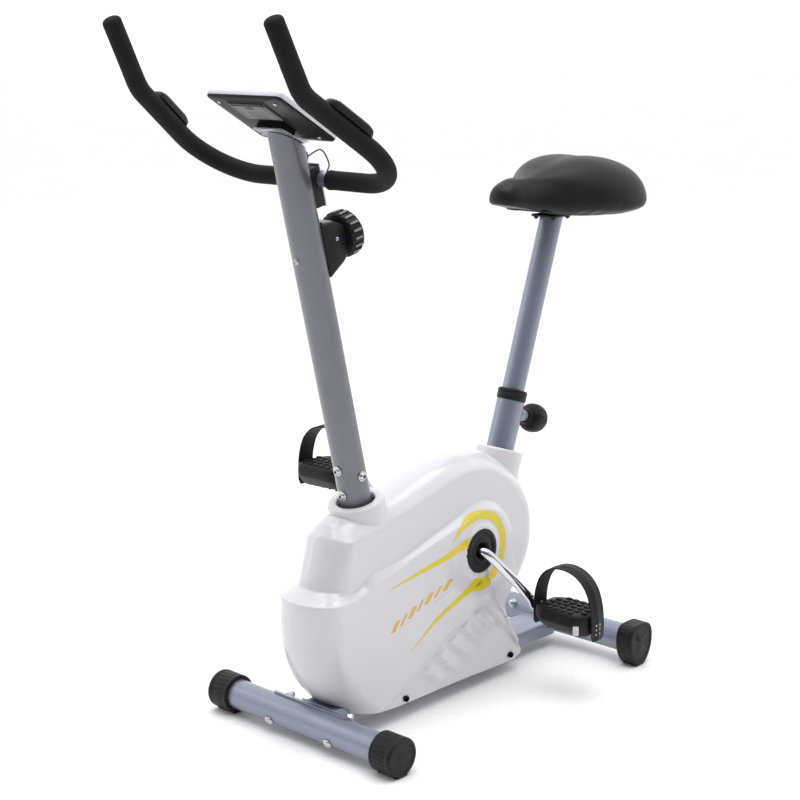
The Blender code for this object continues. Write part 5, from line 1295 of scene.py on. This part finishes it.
def swell(made, voxel, pressure, cap_move, frames=20):
    """Pads a closed piece with a short cloth run under pressure, with the movement capped."""
    step = made.modifiers.new("remesh", "REMESH")
    step.mode = "VOXEL"
    step.voxel_size = voxel
    base = settled(made)
    rest = np.array([v.co for v in base.vertices])
    cloth = made.modifiers.new("cloth", "CLOTH")
    settings = cloth.settings
    settings.use_pressure = True
    settings.uniform_pressure_force = pressure
    settings.effector_weights.gravity = 0.0
    settings.quality = 5
    settings.tension_stiffness = settings.compression_stiffness = 18.0
    settings.bending_stiffness = 2.0
    cloth.collision_settings.use_collision = False
    cloth.point_cache.frame_start, cloth.point_cache.frame_end = 1, frames
    scene = bpy.context.scene
    for frame_number in range(1, frames + 1):
        scene.frame_set(frame_number)
    graph = bpy.context.evaluated_depsgraph_get()
    final = np.array([v.co for v in made.evaluated_get(graph).to_mesh().vertices])
    made.modifiers.clear()
    scene.frame_set(1)
    move = final - rest
    far = np.maximum(np.linalg.norm(move, axis=1), 1e-9)
    move *= np.minimum(1.0, cap_move / far)[:, None]
    base.vertices.foreach_set("co", (rest + move).ravel())
    smooth = made.modifiers.new("relax", "SMOOTH")
    smooth.factor = 0.5
    smooth.iterations = 6
    finer = made.modifiers.new("finer", "SUBSURF")
    finer.levels = finer.render_levels = 1
    settled(made)


saddle = lofted("padded_saddle", saddle_rings(0.0025), VINYL, "seat_column", ("saddle",), sharp=80.0)
swell(saddle, voxel=0.0048, pressure=4.0, cap_move=0.0060)
saddle.data.materials.clear()
saddle.data.materials.append(VINYL)
flat = np.array([v.co for v in saddle.data.vertices])
floor_z = np.interp(flat[:, 1] - SHIFT.y, [s[0] * 0.001 for s in SADDLE], [(s[3] + 1.4) * 0.001 for s in SADDLE])
flat[:, 2] = np.maximum(flat[:, 2], floor_z)
saddle.data.vertices.foreach_set("co", flat.ravel())
saddle.data.update()

outline = []
for sign in (1.0, -1.0):
    run = [(half * 0.00066, y * 0.001, (bottom + 2.2) * 0.001) for y, half, _, bottom in SADDLE[5:14]]
    outline += [(sign * x, y, z) for x, y, z in (run if sign > 0 else reversed(run))]
closed_line = curve_through(outline, 4, True)
rings = [[V((p.x * share, p.y, p.z + drop)) for p in closed_line] for share, drop in (
    (1.0, 0.0016), (1.0, -0.0012), (0.96, -0.0020), (0.93, -0.0012), (0.60, -0.0008), (0.30, -0.0010), (0.0, -0.0010))]
points, faces = skin(rings)
pan = raw_mesh("saddle_base", points, faces[:-2])  # open at both ends
pan.shade_smooth()
pan.materials.append(BLACK)
saddle_base = linked("saddle_base", pan)
thick = saddle_base.modifiers.new("wall", "SOLIDIFY")
thick.thickness = 0.0016
thick.offset = 0.0
carried(saddle_base, "seat_column", ("saddle_pan",))
# the nuts under the saddle are black for the same shadow: painted shade
for k, (x, y) in enumerate(((0.019, -0.021), (-0.019, -0.021), (0.019, 0.021), (-0.019, 0.021))):
    turned(f"saddle_nut_{k}", V((x, post_top.y + y, 0.8012)), -Z, [(-0.001, 0.0040), (0.0026, 0.0040),
           (0.0032, 0.0034), (0.0032, 0.0022), (0.0050, 0.0021), (0.0052, 0.0006)], BLACK, "seat_column", count=36,
           flute=lambda t, r, a: hexagon(r, a) if r > 0.003 else r)


# ---------------------------------------------------------------- floor, light and camera
FLOOR = finish("studio_floor", (0.985, 0.98, 0.965), 0.60, mottle=0.01, mottle_scale=2.0, grain=0.00004,
               grain_scale=200.0)
sheet = bpy.data.meshes.new("studio_floor")
reach, under = 30, -0.0004
sheet.from_pydata([(-reach, -reach, under), (reach, -reach, under), (reach, reach, under), (-reach, reach, under)],
                  [], [(0, 1, 2, 3)])
sheet.materials.append(FLOOR)
floor = linked("studio_floor", sheet)

# the sky is bright on one side and grey on the other, so that the metal and the black parts show their form
world = bpy.data.worlds.new("studio")
world.use_nodes = True
bright = world.node_tree.nodes["Background"]
bright.inputs["Strength"].default_value = 1.0
looking = world.node_tree.nodes.new("ShaderNodeTexCoord")
toward = world.node_tree.nodes.new("ShaderNodeVectorMath")
toward.operation = "DOT_PRODUCT"
toward.inputs[1].default_value = (-0.60, 0.64, 0.48)
world.node_tree.links.new(looking.outputs["Generated"], toward.inputs[0])
glow = world.node_tree.nodes.new("ShaderNodeValToRGB")
glow.color_ramp.elements[0].position = 0.28
glow.color_ramp.elements[0].color = (0.125, 0.127, 0.145, 1.0)
glow.color_ramp.elements[1].position = 0.62
glow.color_ramp.elements[1].color = (1.25, 1.26, 1.30, 1.0)
lift = world.node_tree.nodes.new("ShaderNodeMapRange")
lift.inputs["From Min"].default_value = -1.0
lift.inputs["From Max"].default_value = 1.0
world.node_tree.links.new(toward.outputs["Value"], lift.inputs["Value"])
world.node_tree.links.new(lift.outputs["Result"], glow.inputs["Fac"])
world.node_tree.links.new(glow.outputs["Color"], bright.inputs["Color"])
bpy.context.scene.world = world
bpy.context.scene.view_settings.view_transform = "Standard"


def softbox(name, place, target, size, power):
    """A soft rectangular lamp that faces its target."""
    data = bpy.data.lights.new(name, "AREA")
    data.shape = "RECTANGLE"
    data.size, data.size_y = size
    data.energy = power
    lamp = linked(name, data)
    lamp.location = place
    lamp.rotation_euler = (V(target) - V(place)).to_track_quat("-Z", "Y").to_euler()


softbox("top_softbox", (0.2, -0.2, 3.2), (0.0, 0.0, 0.4), (2.6, 2.6), 62.0)
softbox("left_strip", (-2.6, -1.6, 1.5), (0.0, 0.0, 0.6), (0.5, 2.6), 5.0)
softbox("right_fill", (3.4, 0.2, 1.4), (0.0, 0.1, 0.5), (1.6, 2.2), 1.6)

# the camera's place and its own axes, in the part's modelling frame
lens = bpy.data.cameras.new("camera")
lens.lens = 76.06
lens.sensor_width = 36.0
lens.clip_start = 0.05
camera = linked("camera", lens)
right, up, ahead = V((0.7327, 0.6805, -0.0023)), V((-0.1475, 0.1622, 0.9757)), V((-0.6644, 0.7145, -0.2192))
turn = Matrix((right, up, -ahead)).transposed().to_4x4()
camera.matrix_world = Matrix.Translation((1.8572, -1.7753 + SHIFT.y, 1.1430)) @ turn
bpy.context.scene.camera = camera
